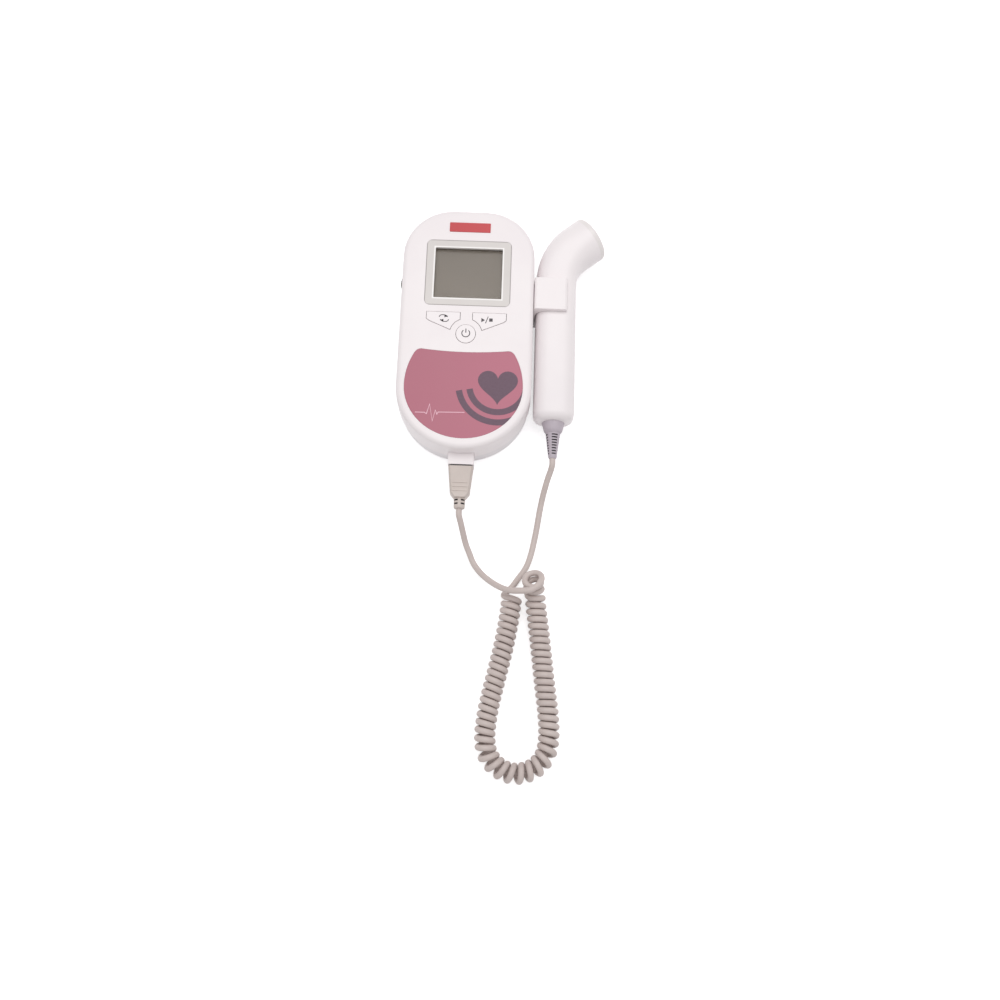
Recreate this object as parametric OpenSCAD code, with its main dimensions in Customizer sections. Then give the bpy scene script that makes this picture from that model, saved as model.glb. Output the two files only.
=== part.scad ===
// Hand-held fetal doppler monitor: a pocket unit with a display and three keys, and a probe that
// sits in a holder on its side and hangs on a curly cord.
// Millimetres. The unit lies on its back: +Z points out of the display, +Y to the head end and
// +X to the probe. The origin is the middle of the unit's back face.

/* [Case] */
// Width of the case
body_w = 71.6; // [70:0.2:78]
// Length of the case, without the plug's boss
body_l = 136.3; // [134:0.1:142]
// Thickness of the case
body_h = 29; // [28.6:0.2:32]
// Depth of the half-oval at the foot end
foot_depth = 34; // [31:0.5:38]
// Radius of the corners at the head end
head_corner_r = 27; // [24:0.5:29]
// Wall of both shells
case_wall = 2; // [1.6:0.1:2.2]
// Thickness of the front plate
front_plate_t = 2.4; // [2.2:0.1:2.6]
// Thickness of the back plate
back_plate_t = 2.4; // [2.2:0.1:2.8]
// Radius along the front edge
front_edge_r = 2.6; // [2.2:0.1:4.3]
// Radius along the back edge
back_edge_r = 3; // [2:0.1:4]
// Height of the joint between the shells
parting_z = 13; // [12:0.1:13.4]
// Draw-in of the front shell's wall towards the front edge
front_draft = 0.2; // [0.1:0.1:0.6]
// How far the rear shell stands back at the joint
rear_step = 0.3; // [0.2:0.1:0.8]
// Further draw-in of the rear shell towards the back
rear_draft = 0.4; // [0:0.1:0.8]
// Height of the lip that lines up the shells
lip_h = 1; // [0.6:0.1:1]

/* [Display] */
// Width of the visible screen
screen_w = 36.4; // [34:0.1:37]
// Height of the visible screen
screen_h = 29.4; // [27:0.1:30]
// Middle of the screen along the case
screen_y = 30.5; // [29.5:0.1:31.5]
// Width of the bezel's frame at the sides
bezel_side = 4.7; // [4:0.1:5]
// Width of the bezel's frame at the ends
bezel_end = 4.35; // [4:0.05:5]
// Corner radius of the bezel
bezel_corner_r = 3; // [2:0.1:4]
// Thickness of the bezel
bezel_t = 1.4; // [1.2:0.1:1.5]
// Thickness of the clear window
window_t = 1.2; // [0.9:0.1:1.3]
// How far the window reaches under the bezel
window_lap = 1.7; // [1.2:0.1:2]
// Thickness of the display's glass
glass_t = 1.1; // [0.9:0.1:1.3]
// Thickness of the backlight frame
backlight_t = 3.3; // [3:0.1:3.5]

/* [Keys] */
// Diameter of the power key
power_d = 10.3; // [9:0.1:11]
// Middle of the power key along the case
power_y = -4.75; // [-5.5:0.05:-4]
// Straight top edge of the two wide keys
key_top_y = 7.35; // [7:0.05:8]
// Inner side of the wide keys, from the middle line
key_inner_x = 3.4; // [3.2:0.1:4]
// Outer side of the wide keys, from the middle line
key_outer_x = 21.2; // [19:0.1:22]
// Lower end of the wide keys' outer side
key_outer_y = 3.5; // [3:0.1:4]
// Lower tip of the wide keys, from the middle line
key_tip_x = 8.5; // [8:0.1:8.7]
// Radius of the wide keys' hollow side round the power key
key_hollow_r = 8.8; // [8.8:0.1:9.4]
// How far the keys stand proud of the case
key_proud = 0.3; // [0:0.05:0.8]
// Travel of a key
key_travel = 0.5; // [0.3:0.05:0.6]
// Gap round a key
key_gap = 0.25; // [0.2:0.05:0.4]
// Width of the rim that holds a key in
key_rim = 1; // [0.6:0.1:1.1]
// Thickness of that rim
key_rim_t = 1; // [0.8:0.1:1.2]
// Width of a switch body
switch_w = 6; // [5:0.1:6.5]
// Diameter of a switch plunger
plunger_d = 3.4; // [3:0.1:3.6]

/* [Label and badge] */
// Rim of plain case beside the label
label_side = 4.6; // [4.6:0.1:6]
// Rim of plain case below the label
label_foot = 5.4; // [4.8:0.1:7]
// Top edge of the label
label_top_y = -13.8; // [-15:0.1:-13]
// Rise that the label's sides would have as an oval above the foot's half-oval
label_rise = 34.5; // [30:0.5:40]
// Rounding of the label's top corners
label_corner = 2.2; // [1:0.1:3]
// Sag of the label's top edge at the middle
label_sag = 1.3; // [0.5:0.1:2]
// Thickness of the label film
label_t = 0.3; // [0.2:0.05:0.5]
// Width of the badge
badge_w = 22.2; // [18:0.1:24]
// Height of the badge
badge_h = 5.5; // [4:0.1:6]
// Middle of the badge along the case
badge_y = 57.5; // [57:0.1:58.5]
// Thickness of the badge
badge_t = 0.4; // [0.3:0.05:0.6]

/* [Volume wheel] */
// Radius of the thumbwheel
wheel_r = 8.5; // [8:0.1:9.5]
// Thickness of the thumbwheel
wheel_t = 2.6; // [2:0.1:3]
// Middle of the thumbwheel along the case
wheel_y = 28.4; // [28:0.1:31]
// How far the thumbwheel stands out of the case
wheel_proud = 1.4; // [0.8:0.1:1.6]
// Diameter of the spindle that the thumbwheel turns on
spindle_d = 3; // [2.4:0.1:3.4]
// Thickness of the potentiometer's body
pot_t = 1.8; // [1.4:0.1:2]

/* [Headphone socket] */
// Bore of the headphone socket
jack_d = 3.6; // [3.5:0.05:3.7]
// Depth of the bore
jack_depth = 11; // [10:0.5:12]
// Width of the socket's body
jack_w = 6; // [5.6:0.1:6.2]
// Middle of the socket along the case
jack_y = 12; // [11:0.1:13]

/* [Speaker] */
// Diameter of the speaker
speaker_d = 36; // [32:0.5:37]
// Height of the speaker
speaker_h = 6.5; // [5:0.1:8]
// Middle of the speaker along the case
speaker_y = 36; // [34:0.1:37]
// Number of slots in the grille
grille_slots = 7; // [5:2:9]
// Width of a grille slot
grille_slot_w = 1.6; // [1.2:0.1:2]

/* [Batteries] */
// Gap between the battery bay and the circuit board
bay_board_gap = 1.5; // [1.4:0.1:2]
// Length of a cell
cell_l = 50.5; // [49.5:0.1:50.5]
// Gap between the battery bay, inside, and the socket's boss
bay_boss_gap = 4.95; // [3.8:0.05:5.5]
// Length of a contact spring as fitted
spring_l = 5.4; // [4:0.1:6]
// Turns of a contact spring
spring_turns = 4; // [3:1:6]
// Wire of the contact springs
spring_wire_d = 0.8; // [0.6:0.1:0.9]
// Wall of the battery bay
bay_wall = 1.5; // [1.2:0.1:1.8]
// Thickness of the battery door
door_t = 2; // [1.8:0.1:2.1]
// Travel of the door before it lifts off
door_travel = 10; // [8:0.5:11]
// Gap round the door
door_gap = 0.2; // [0.15:0.05:0.3]

/* [Fasteners] */
// Shank diameter of the case screws
case_screw_d = 2.5; // [2.2:0.1:2.8]
// Head diameter of the case screws
case_screw_head_d = 4.8; // [4.4:0.1:5]
// Length of the case screws below the head
case_screw_l = 16; // [14:0.5:18]
// Outside diameter of the case screw bosses
case_boss_d = 6.5; // [6:0.1:7]
// Shank diameter of the board screws
board_screw_d = 2.2; // [1.8:0.1:2.4]
// Head diameter of the board screws
board_screw_head_d = 4; // [3.6:0.1:4.4]
// Outside diameter of the board posts
board_post_d = 5; // [4.6:0.1:5.4]
// Thickness of the circuit board
board_t = 1.6; // [1.2:0.1:1.6]

/* [Probe] */
// Width of the probe's handle
handle_w = 22; // [20:0.2:23]
// Depth of the probe's handle, front to back
handle_t = 20; // [18:0.2:20.5]
// Gap between the handle and the case
handle_gap = 1.3; // [1.2:0.1:2.2]
// Height of the probe's axis above the back face
probe_z = 15; // [14.8:0.1:15.4]
// Lower end of the handle
handle_end_y = -48.4; // [-50:0.2:-45]
// Rounding at the lower end of the handle
handle_end_r = 4.5; // [3:0.1:5]
// Where the head starts to bend away
bend_y = 32.2; // [31:0.2:37]
// Radius of the bend
bend_r = 28; // [25:0.5:32]
// Angle of the bend
bend_angle = 52; // [40:1:60]
// Straight length from the bend to the face
head_l = 10.9; // [9:0.1:14]
// Diameter of the face
face_d = 25.6; // [24:0.2:27]
// Thickness of the cap at the face
cap_t = 3.2; // [2.6:0.1:4]
// Rounding of the cap's edge
cap_edge_r = 1.6; // [1:0.1:2]
// Wall of the probe's shells
probe_wall = 1.8; // [1.5:0.1:2.1]
// Wall at the lower end of the handle
handle_end_wall = 3; // [2.5:0.1:3.5]
// Diameter of a crystal pair
crystal_d = 17; // [14:0.5:18]
// Diameter of the strain relief's collar at the handle
collar_d = 12.2; // [11:0.1:13]
// Diameter of the collar at its lower end
collar_end_d = 9.8; // [9:0.1:10.4]
// Length of the collar
collar_l = 5.6; // [4.5:0.1:6.5]
// Length of the ribbed part of the strain relief
relief_l = 14; // [12:0.5:16]
// Diameter of the ribbed part at the collar
relief_d1 = 7.8; // [7:0.1:8.4]
// Diameter of the ribbed part at the cord
relief_d2 = 4.4; // [4.2:0.1:5.4]
// Rows of slots in the strain relief
relief_rows = 8; // [4:1:8]
// Turn of the slots round the cord, from the front
relief_turn = 14; // [0:1:45]

/* [Probe holder] */
// Length of the holder along the handle
holder_l = 18.2; // [16:0.2:20]
// Middle of the holder along the case
holder_y = 20.9; // [19:0.1:22]
// Thickness of the holder's arms
holder_arm_t = 2.6; // [2.2:0.1:2.6]
// Reach of the arms from the side of the case
holder_reach = 17.9; // [16:0.1:19]
// Gap between the holder and the handle
holder_gap = 0.3; // [0.2:0.05:0.4]
// Height of the holder's foot in the wall of the case
holder_foot_h = 16; // [14:0.2:17]

/* [Socket and plug] */
// Width of the boss that takes the plug
boss_w = 13.4; // [12.6:0.1:14]
// Height of the boss
boss_h = 11; // [10:0.1:12]
// How far the boss stands out of the foot end
boss_out = 5.6; // [4:0.1:7]
// Gap between the boss and the circuit board
socket_gap = 0.7; // [0.4:0.1:1]
// Width of the plug at the boss
plug_w = 13.1; // [12:0.1:13.6]
// Width of the plug at its lower end
plug_end_w = 10.3; // [9:0.1:11.5]
// Height of the plug
plug_h = 9; // [8:0.1:10]
// Length of the plug's grip
plug_l = 14.2; // [12:0.1:16]
// Length of the plug's shoulder
plug_shoulder_l = 2.6; // [2:0.1:3.5]
// Length of the plug's own strain relief
plug_relief_l = 5.6; // [5:0.1:8]
// Diameter of the plug's strain relief
plug_relief_d = 6; // [5:0.1:6.5]
// Seam between the plug and the boss
plug_seam = 0.5; // [0.3:0.1:0.8]
// Pitch of the plug's grip ribs
plug_rib_pitch = 2.2; // [1.8:0.1:2.6]
// Pitch of the slots in the plug's strain relief
plug_slot_pitch = 1.9; // [1.6:0.1:2.1]
// Width of the plug's tongue
tongue_w = 9; // [8:0.1:9.2]
// Height of the plug's tongue
tongue_h = 4.6; // [4:0.1:5]
// Length of the plug's tongue
tongue_l = 8; // [7:0.1:8.4]

/* [Cord] */
// Diameter of the cord
cord_d = 3.2; // [2.9:0.1:3.3]
// Diameter of the cord in the curls, a little less, so that they stay apart
curl_cord_d = 2.9; // [2.6:0.1:2.9]
// Outside diameter of the curly part
coil_d = 11; // [10.6:0.1:11.2]
// Whole curls in the curly part
curls = 54; // [48:1:54]
// Further growth of the last curl's radius
loose_curl = 0.6; // [0:0.05:0.85]

/* [Hidden] */
$fn = 64;

slip = 0.1;           // gap between fixed pieces that slide together
seat = 0.2;           // gap over a piece that another one holds down
running = 0.05;       // radial gap of a part that turns or slides on another
lip_t = 1;            // thickness of the rear shell's lip
cut = 1;              // how far a cutting shape runs past what it cuts
foot_steps = 36;      // sides of the half-oval
corner_steps = 10;    // sides of a head corner
foot_y = -body_l / 2 + foot_depth;
head_x = body_w / 2 - head_corner_r;
head_y = body_l / 2 - head_corner_r;

// Heights of the stack, from the front down
plate_z = body_h - front_plate_t;
bezel_z = body_h - bezel_t;
window_z = bezel_z - window_t;
glass_z = window_z - seat - glass_t;
board_top = glass_z - backlight_t;
board_z = board_top - board_t;
key_rim_top = plate_z - seat;
key_rim_z = key_rim_top - key_rim_t;
switch_top = key_rim_z - key_travel - seat;
plunger_z = board_top + seat;

// Chips: place across, place above the foot's half-oval, width, length and height
chips = [[0, 6.15, 12, 12, 1.4], [-18, 7.15, 6, 9, 1.6], [17, 8.15, 7, 5, 1.2], [8, -9.85, 9, 4, 2.2]];

// Display
bezel_w = screen_w + 2 * bezel_side;
bezel_h = screen_h + 2 * bezel_end;
window_w = screen_w + 2 * window_lap;
window_h = screen_h + 2 * window_lap;

// Wheel and socket under the board
wheel_x = -body_w / 2 - wheel_proud + wheel_r;
wheel_top = board_z - pot_t - seat;
wheel_z = wheel_top - wheel_t;
wheel_washer_d = 5.2;
wheel_washer_t = 0.5;
wheel_teeth = 40;
wheel_tooth = 0.35;
jack_z = board_z - jack_w / 2;
pot_d = 2 * (body_w / 2 - case_wall - front_draft - slip + wheel_x);
jack_end_x = -body_w / 2 - 0.4;
jack_body_l = jack_depth + 1.6;

// Boss that takes the plug, under the board
boss_end_y = -body_l / 2 - boss_out;
boss_in_y = -body_l / 2 + 9.5;
socket_z = board_z - socket_gap - boss_h / 2;
boss_flange = 1.6;

// Batteries: a cell fills the height between the door and the bay's roof, 14.5 mm for an AA cell
cell_gap = 0.35;
cell_d = board_z - bay_board_gap - bay_wall - 2 * cell_gap - door_t;
cell_z = door_t + cell_gap + cell_d / 2;
cell_x = cell_d / 2 + 0.25;
plate_t = 0.4;
bay_l = cell_l + spring_l + 2 * plate_t;
bay_foot_y = boss_in_y + bay_boss_gap;
bay_head_y = bay_foot_y + bay_l;
bay_half_w = cell_x + cell_d / 2 + 0.3;
bay_roof_z = cell_z + cell_d / 2 + cell_gap;
door_half_w = bay_half_w + bay_wall + 0.3;
door_head_y = bay_head_y + 4;
bay_outer_half_w = door_half_w + door_gap + bay_wall;
tongue_out = 1;
tongue_t = 0.7;
tongue_z = 0.85;
tongue_run = 6;
tongue_starts = [bay_foot_y + 9, bay_head_y - 9];
spring_r = 4;
nub_d = 5.5;
nub_l = 1.2;

// Speaker
speaker_rim_t = 1.2;
speaker_wall = 1.2;
grille_pitch = 3.6;
grille_r = speaker_d / 2 - 4;

// Fasteners
case_screw_head_h = 2;
case_head_z = 2.8;
boss_places = [[body_w / 2 - 8.7, body_l / 2 - 18.65], [-body_w / 2 + 8.7, body_l / 2 - 18.65],
    [body_w / 2 - 9.7, -body_l / 2 + 23.15], [-body_w / 2 + 9.7, -body_l / 2 + 23.15]];
post_x = body_w / 2 - 8.9;
post_places = [[post_x, -8], [-post_x, -8], [14, screen_y + 25.5], [-14, screen_y + 25.5]];
board_head_h = 1.4;
board_inset = case_wall + 2.6;

// Probe
probe_x = body_w / 2 + handle_gap + handle_w / 2;
handle_l = bend_y - handle_end_y;
arc_l = bend_r * bend_angle * PI / 180;
shell_end = handle_l + arc_l + head_l - cap_t;
probe_sides = 32;
handle_power = 3.2;
end_steps = [0, 0.12, 0.35, 0.65, 1];
relief_hole_d = 8.2;
relief_end_y = handle_end_y - collar_l - relief_l;

// Holder
holder_x = body_w / 2 + slip;
holder_half_h = handle_t / 2 + holder_gap + holder_arm_t;
holder_foot_l = holder_l - 3;
holder_corner_r = 1.6;
holder_flange_x = body_w / 2 - case_wall - lip_t - 3 * slip;

// Plug
plug_y = boss_end_y - plug_seam;
plug_end_y = plug_y - plug_l;
plug_neck_y = plug_end_y - plug_shoulder_l;
plug_exit_y = plug_neck_y - plug_relief_l;
plug_chamfer = 1;
plug_ribs = 3;
plug_rib_w = 0.9;
plug_rib_h = 0.35;
plug_rib_half = 4.1;
plug_slot_w = 0.85;
plug_slot_x = 0.8;
socket_depth = tongue_l - plug_seam + 0.4;
contact_n = 6;
contact_w = 0.6;
contact_t = 0.3;

// Routes of the cord's free stretches, from the plug and from the probe to the curly part
lead_unit_points = [[1.2, -104, 11.5], [2.6, -109, 8], [4, -113.5, 5], [6, -118, 3],
    [8, -122.5, 2.2], [10.8, -126.6, 3], [14, -130.1, 4.8], [17.8, -133.3, 7.4],
    [21.6, -136, 10.6], [25.4, -138, 13.8], [29.4, -139, 16.6]];
lead_probe_points = [[47.3, -74.4, 12.7], [46.2, -77.5, 10.6], [44.8, -82.5, 7.4],
    [43.6, -87.8, 4.6], [42.6, -93.5, 2.7], [41.8, -99, 1.9], [41, -104.5, 1.7],
    [40, -110, 1.7], [38.9, -115.6, 1.7], [37.4, -121, 1.7], [35.5, -125.4, 1.7]];
// Line that the curls wind round, from the end of the probe's lead to the end of the unit's
coil_axis = [[29, -141.5, 5.6], [28, -151, 5.6], [26.5, -161, 5.6], [24.6, -171, 5.6],
    [22.4, -181, 5.6], [20.2, -191, 5.6], [18.4, -201, 5.6], [17.6, -212, 5.6],
    [19.4, -220.6, 5.6], [25.2, -226.8, 5.6], [33.6, -229.2, 5.6], [42, -226.8, 5.6],
    [47.8, -220.6, 5.6], [49.7, -212, 5.6], [49.3, -201, 5.6], [47.8, -190, 5.6],
    [46.3, -179, 5.6], [44.9, -168, 5.6], [43.4, -157, 5.6], [41.9, -146.6, 5.8],
    [41.1, -140.4, 7], [40.2, -135.7, 10.4], [39.4, -131.9, 15.4]];
coil_entry = [31.7, -131, 1.7];
coil_entry_dir = [-0.55, -0.835, 0];
coil_exit = [33.4, -139.2, 18.4];
coil_exit_dir = [-0.965, 0, -0.26];
curl_rings = 8;
coil_sides = 6;
lead_sides = 8;
axis_steps = 320;
join_steps = 3;
entry_reach = 9;
exit_reach = 12;
first_phase = 135;

// ---------- points and paths ----------

function unit(v) = v / norm(v);
function mix(a, b, t) = a * (1 - t) + b * t;
function ease(t) = let (c = min(1, max(0, t))) c * c * (3 - 2 * c);

// A rectangle with round corners, centred on the origin
function rounded(w, h, r) = [for (q = [0:3], i = [0:5])
    let (t = 90 * q + 18 * i,
         x = (q == 0 || q == 3 ? 1 : -1) * (w / 2 - r),
         y = (q < 2 ? 1 : -1) * (h / 2 - r))
    [x + r * cos(t), y + r * sin(t)]];

// The case seen from the front, drawn in by an inset: half-oval foot and two round head corners
function case_outline(inset = 0) =
    let (a = body_w / 2 - inset, b = foot_depth - inset, c = head_corner_r - inset)
    concat(
        [for (i = [0:foot_steps]) let (t = 180 + 180 * i / foot_steps)
            [a * cos(t), foot_y + b * sin(t)]],
        [for (i = [0:corner_steps]) let (t = 90 * i / corner_steps)
            [head_x + c * cos(t), head_y + c * sin(t)]],
        [for (i = [0:corner_steps]) let (t = 90 + 90 * i / corner_steps)
            [-head_x + c * cos(t), head_y + c * sin(t)]]);

// The label: an oval parallel to the foot, with taller sides and a slightly sagging top edge
function label_outline(inset = 0) =
    let (a = body_w / 2 - label_side - inset, b = foot_depth - label_foot - inset,
         top = label_top_y - inset,
         t0 = asin((top - label_corner - foot_y) / label_rise),
         side = [a * cos(t0), top - label_corner],
         corner = [a * cos(asin((top - foot_y) / label_rise)), top],
         edge_x = corner[0] - label_corner,
         right = concat(
            [for (i = [1:7]) let (t = t0 * i / 8) [a * cos(t), foot_y + label_rise * sin(t)]],
            [for (i = [0:4]) let (t = i / 4)
                pow(1 - t, 2) * side + 2 * t * (1 - t) * corner + t * t * [edge_x, top]]))
    concat(
        [for (i = [0:foot_steps]) let (t = 180 + 180 * i / foot_steps)
            [a * cos(t), foot_y + b * sin(t)]],
        right,
        [for (i = [1:11]) let (x = edge_x * (1 - i / 6))
            [x, top - label_sag * (1 - pow(x / edge_x, 2))]],
        [for (i = [len(right) - 1:-1:0]) [-right[i][0], right[i][1]]]);

// The wide key on the right; the left one is its mirror image
function key_outline() =
    let (t1 = acos(key_inner_x / key_hollow_r), t2 = acos(key_tip_x / key_hollow_r))
    concat(
        [[key_outer_x, key_top_y], [key_inner_x, key_top_y]],
        [for (i = [0:8]) let (t = mix(t1, t2, i / 8))
            [key_hollow_r * cos(t), power_y + key_hollow_r * sin(t)]],
        [[key_outer_x - 1.3, key_outer_y - 1.1], [key_outer_x, key_outer_y]]);

// The wheel's edge, with teeth for the thumb
function wheel_outline() = [for (i = [0:2 * wheel_teeth - 1])
    let (t = 180 * i / wheel_teeth, r = wheel_r - (i % 2) * wheel_tooth)
    [r * cos(t), r * sin(t)]];

// Cross-section between a rectangle and an ellipse: a high power is squarer
function soft_square(a, b, power) = [for (i = [0:probe_sides - 1])
    let (t = 360 * i / probe_sides, c = cos(t), s = sin(t))
    [a * sign(c) * pow(abs(c), 2 / power), b * sign(s) * pow(abs(s), 2 / power)]];

// Probe's middle line: angle from +Y towards +X, and point, at a distance from the handle's end
function probe_angle(s) = s < handle_l ? 0
    : min(bend_angle, (s - handle_l) / bend_r * 180 / PI);
function probe_point(s) =
    let (a = probe_angle(s), past = max(0, s - handle_l - arc_l))
    [probe_x + bend_r * (1 - cos(a)) + past * sin(a),
     handle_end_y + min(s, handle_l) + bend_r * sin(a) + past * cos(a), probe_z];

// One cross-section of the probe, drawn in by an inset
function probe_ring(s, inset) =
    let (a = probe_angle(s), p = probe_point(s),
         f = ease((s - handle_l) / (arc_l + head_l)),
         across = mix(handle_w, face_d, f) / 2 - inset,
         deep = mix(handle_t, face_d, f) / 2 - inset)
    [for (q = soft_square(across, deep, mix(handle_power, 2, f)))
        p + [q[0] * cos(a), -q[0] * sin(a), -q[1]]];

// Spline through a list of points, by a running parameter that counts the points
function spline(p, u) =
    let (k = min(floor(u), len(p) - 2), t = u - k,
         a = k > 0 ? p[k - 1] : 2 * p[0] - p[1], b = p[k], c = p[k + 1],
         d = k + 2 < len(p) ? p[k + 2] : 2 * p[k + 1] - p[k])
    (2 * b + (c - a) * t + (2 * a - 5 * b + 4 * c - d) * t * t
        + (3 * b - a - 3 * c + d) * t * t * t) / 2;

// Smooth join between two points that leave and arrive along given directions
function join(p, dir_p, q, dir_q, reach, t) =
    (2 * t * t * t - 3 * t * t + 1) * p + (t * t * t - 2 * t * t + t) * reach * dir_p
        + (3 * t * t - 2 * t * t * t) * q + (t * t * t - t * t) * reach * dir_q;

// Shortest distance from a point to a short straight line
function point_to_line(p, a, b) =
    let (d = b - a, t = min(1, max(0, (p - a) * d / (d * d)))) norm(p - a - t * d);

// ---------- solids from paths ----------

// Closed skin over a list of cross-sections that run counter-clockwise about the path
module skin(rings) {
    n = len(rings[0]);
    m = len(rings);
    points = [for (ring = rings, p = ring) p];
    faces = concat(
        [[for (j = [0:n - 1]) j]],
        [[for (j = [n - 1:-1:0]) (m - 1) * n + j]],
        [for (i = [0:m - 2], j = [0:n - 1]) [i * n + j, (i + 1) * n + j, (i + 1) * n + (j + 1) % n]],
        [for (i = [0:m - 2], j = [0:n - 1]) [i * n + j, (i + 1) * n + (j + 1) % n, i * n + (j + 1) % n]]);
    polyhedron(points, faces);
}

// Tube along a path, its ends square to the given directions
module tube(path, d, sides, start_dir, end_dir) {
    last = len(path) - 1;
    dirs = [for (i = [0:last]) i == 0 ? unit(start_dir) : i == last ? unit(end_dir)
        : unit(path[i + 1] - path[i - 1])];
    first = unit(cross(dirs[0], [0.3, 0.2, 1]));
    sideways = [for (i = 0, n = first; i <= last;
        i = i + 1, n = i > last ? n : unit(n - (n * dirs[i]) * dirs[i])) n];
    skin([for (i = [0:last]) let (n = sideways[i], b = cross(dirs[i], n))
        [for (j = [0:sides - 1]) let (t = 360 * j / sides)
            path[i] + d / 2 * (cos(t) * n + sin(t) * b)]]);
}

module plate(points, z, t) {
    translate([0, 0, z]) linear_extrude(t) polygon(points);
}

module post(place, d, z0, z1) {
    translate([place[0], place[1], z0]) cylinder(d = d, h = z1 - z0);
}

module box(x0, x1, y0, y1, z0, z1) {
    translate([x0, y0, z0]) cube([x1 - x0, y1 - y0, z1 - z0]);
}

// ---------- case ----------

module front_body() {
    layer = 0.01;
    hull() {
        plate(case_outline(), parting_z, layer);
        for (a = [0:15:90])
            plate(case_outline(front_draft + front_edge_r * (1 - cos(a))),
                body_h - front_edge_r * (1 - sin(a)) - layer, layer);
    }
}

module rear_body() {
    layer = 0.01;
    hull() {
        plate(case_outline(rear_step), parting_z - layer, layer);
        for (a = [0:18:90])
            plate(case_outline(rear_step + rear_draft + back_edge_r * (1 - cos(a))),
                back_edge_r * (1 - sin(a)), layer);
    }
}

// What both shells leave room for: the plug's boss, the holder's foot, the wheel and the socket
module shared_openings() {
    box(-body_w / 2 - cut, -body_w / 2 + case_wall + 2,
        wheel_y - wheel_slot_half(), wheel_y + wheel_slot_half(), wheel_z - 0.4, wheel_top + 0.4);
    translate([-body_w / 2 - cut, jack_y, jack_z]) rotate([0, 90, 0])
        cylinder(d = jack_w + 2 * slip, h = case_wall + 2 * cut);
    box(-body_w / 2 + case_wall, jack_end_x + jack_body_l, jack_y - jack_w / 2 - slip,
        jack_y + jack_w / 2 + slip, jack_z - jack_w / 2 - slip, board_z);
    box(-boss_w / 2 - slip, boss_w / 2 + slip, boss_end_y - cut, boss_in_y - cut,
        socket_z - boss_h / 2 - slip, socket_z + boss_h / 2 + slip);
    box(holder_flange_x - slip, body_w / 2 + cut,
        holder_y - holder_foot_l / 2 - slip, holder_y + holder_foot_l / 2 + slip,
        probe_z - holder_foot_h / 2 - slip, probe_z + holder_foot_h / 2 + slip);
}

module front_shell() {
    color("whitesmoke") difference() {
        union() {
            difference() {
                front_body();
                plate(case_outline(case_wall), parting_z - cut, plate_z - 1.2 - parting_z + cut);
                plate(case_outline(case_wall + 1.4), parting_z, plate_z - parting_z);
            }
            for (p = boss_places)
                post(p, case_boss_d, parting_z + slip, plate_z + 0.1);
            for (p = post_places)
                post(p, board_post_d, board_top, plate_z + 0.1);
        }
        shared_openings();
        for (p = boss_places)
            post(p, case_screw_d, parting_z - cut, case_head_z + case_screw_head_h + case_screw_l + 0.5);
        for (p = post_places)
            post(p, board_screw_d, board_z, plate_z - 0.4);
        translate([0, screen_y, 0]) {
            plate(rounded(bezel_w + 2 * slip, bezel_h + 2 * slip, bezel_corner_r), bezel_z, bezel_t + cut);
            plate(rounded(window_w + 2 * slip, window_h + 2 * slip, 1.5), plate_z - cut, front_plate_t);
        }
        post([0, power_y], power_d + 2 * key_gap, plate_z - cut, body_h + cut);
        for (side = [0, 1])
            mirror([side, 0, 0]) translate([0, 0, plate_z - cut]) linear_extrude(front_plate_t + 2 * cut)
                offset(delta = key_gap) polygon(key_outline());
        plate(label_outline(), body_h - label_t, label_t + cut);
        translate([0, badge_y, 0])
            plate(rounded(badge_w + 2 * slip, badge_h + 2 * slip, 0.5), body_h - badge_t / 2, cut);
    }
}

// Half length of the slot that the wheel needs at the inside of the wall
function wheel_slot_half() =
    sqrt(pow(wheel_r, 2) - pow(wheel_r - wheel_proud - case_wall, 2)) + 0.6;

module grille() {
    for (i = [0:grille_slots - 1]) {
        off = (i - (grille_slots - 1) / 2) * grille_pitch;
        half = sqrt(pow(grille_r, 2) - pow(off, 2));
        box(-half, half, speaker_y + off - grille_slot_w / 2, speaker_y + off + grille_slot_w / 2,
            -cut, back_plate_t + cut);
    }
}

// Space of the door, with the grooves for its tongues and the pockets where they come free
module door_space() {
    w = door_half_w + door_gap;
    box(-w, w, -body_l / 2 - cut, door_head_y + door_gap, -cut, door_t + door_gap);
    for (side = [-1, 1], y = tongue_starts) {
        x = side * (w + (tongue_out + slip) / 2);
        half = (tongue_out + slip) / 2 + 0.01;
        box(x - half, x + half, y - door_travel - 0.3, y + tongue_run + 0.3,
            tongue_z - 0.15, tongue_z + tongue_t + 0.15);
        box(x - half, x + half, y - door_travel - 0.3, y - door_travel + tongue_run + 0.3,
            -cut, tongue_z + tongue_t + 0.15);
    }
}

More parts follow.
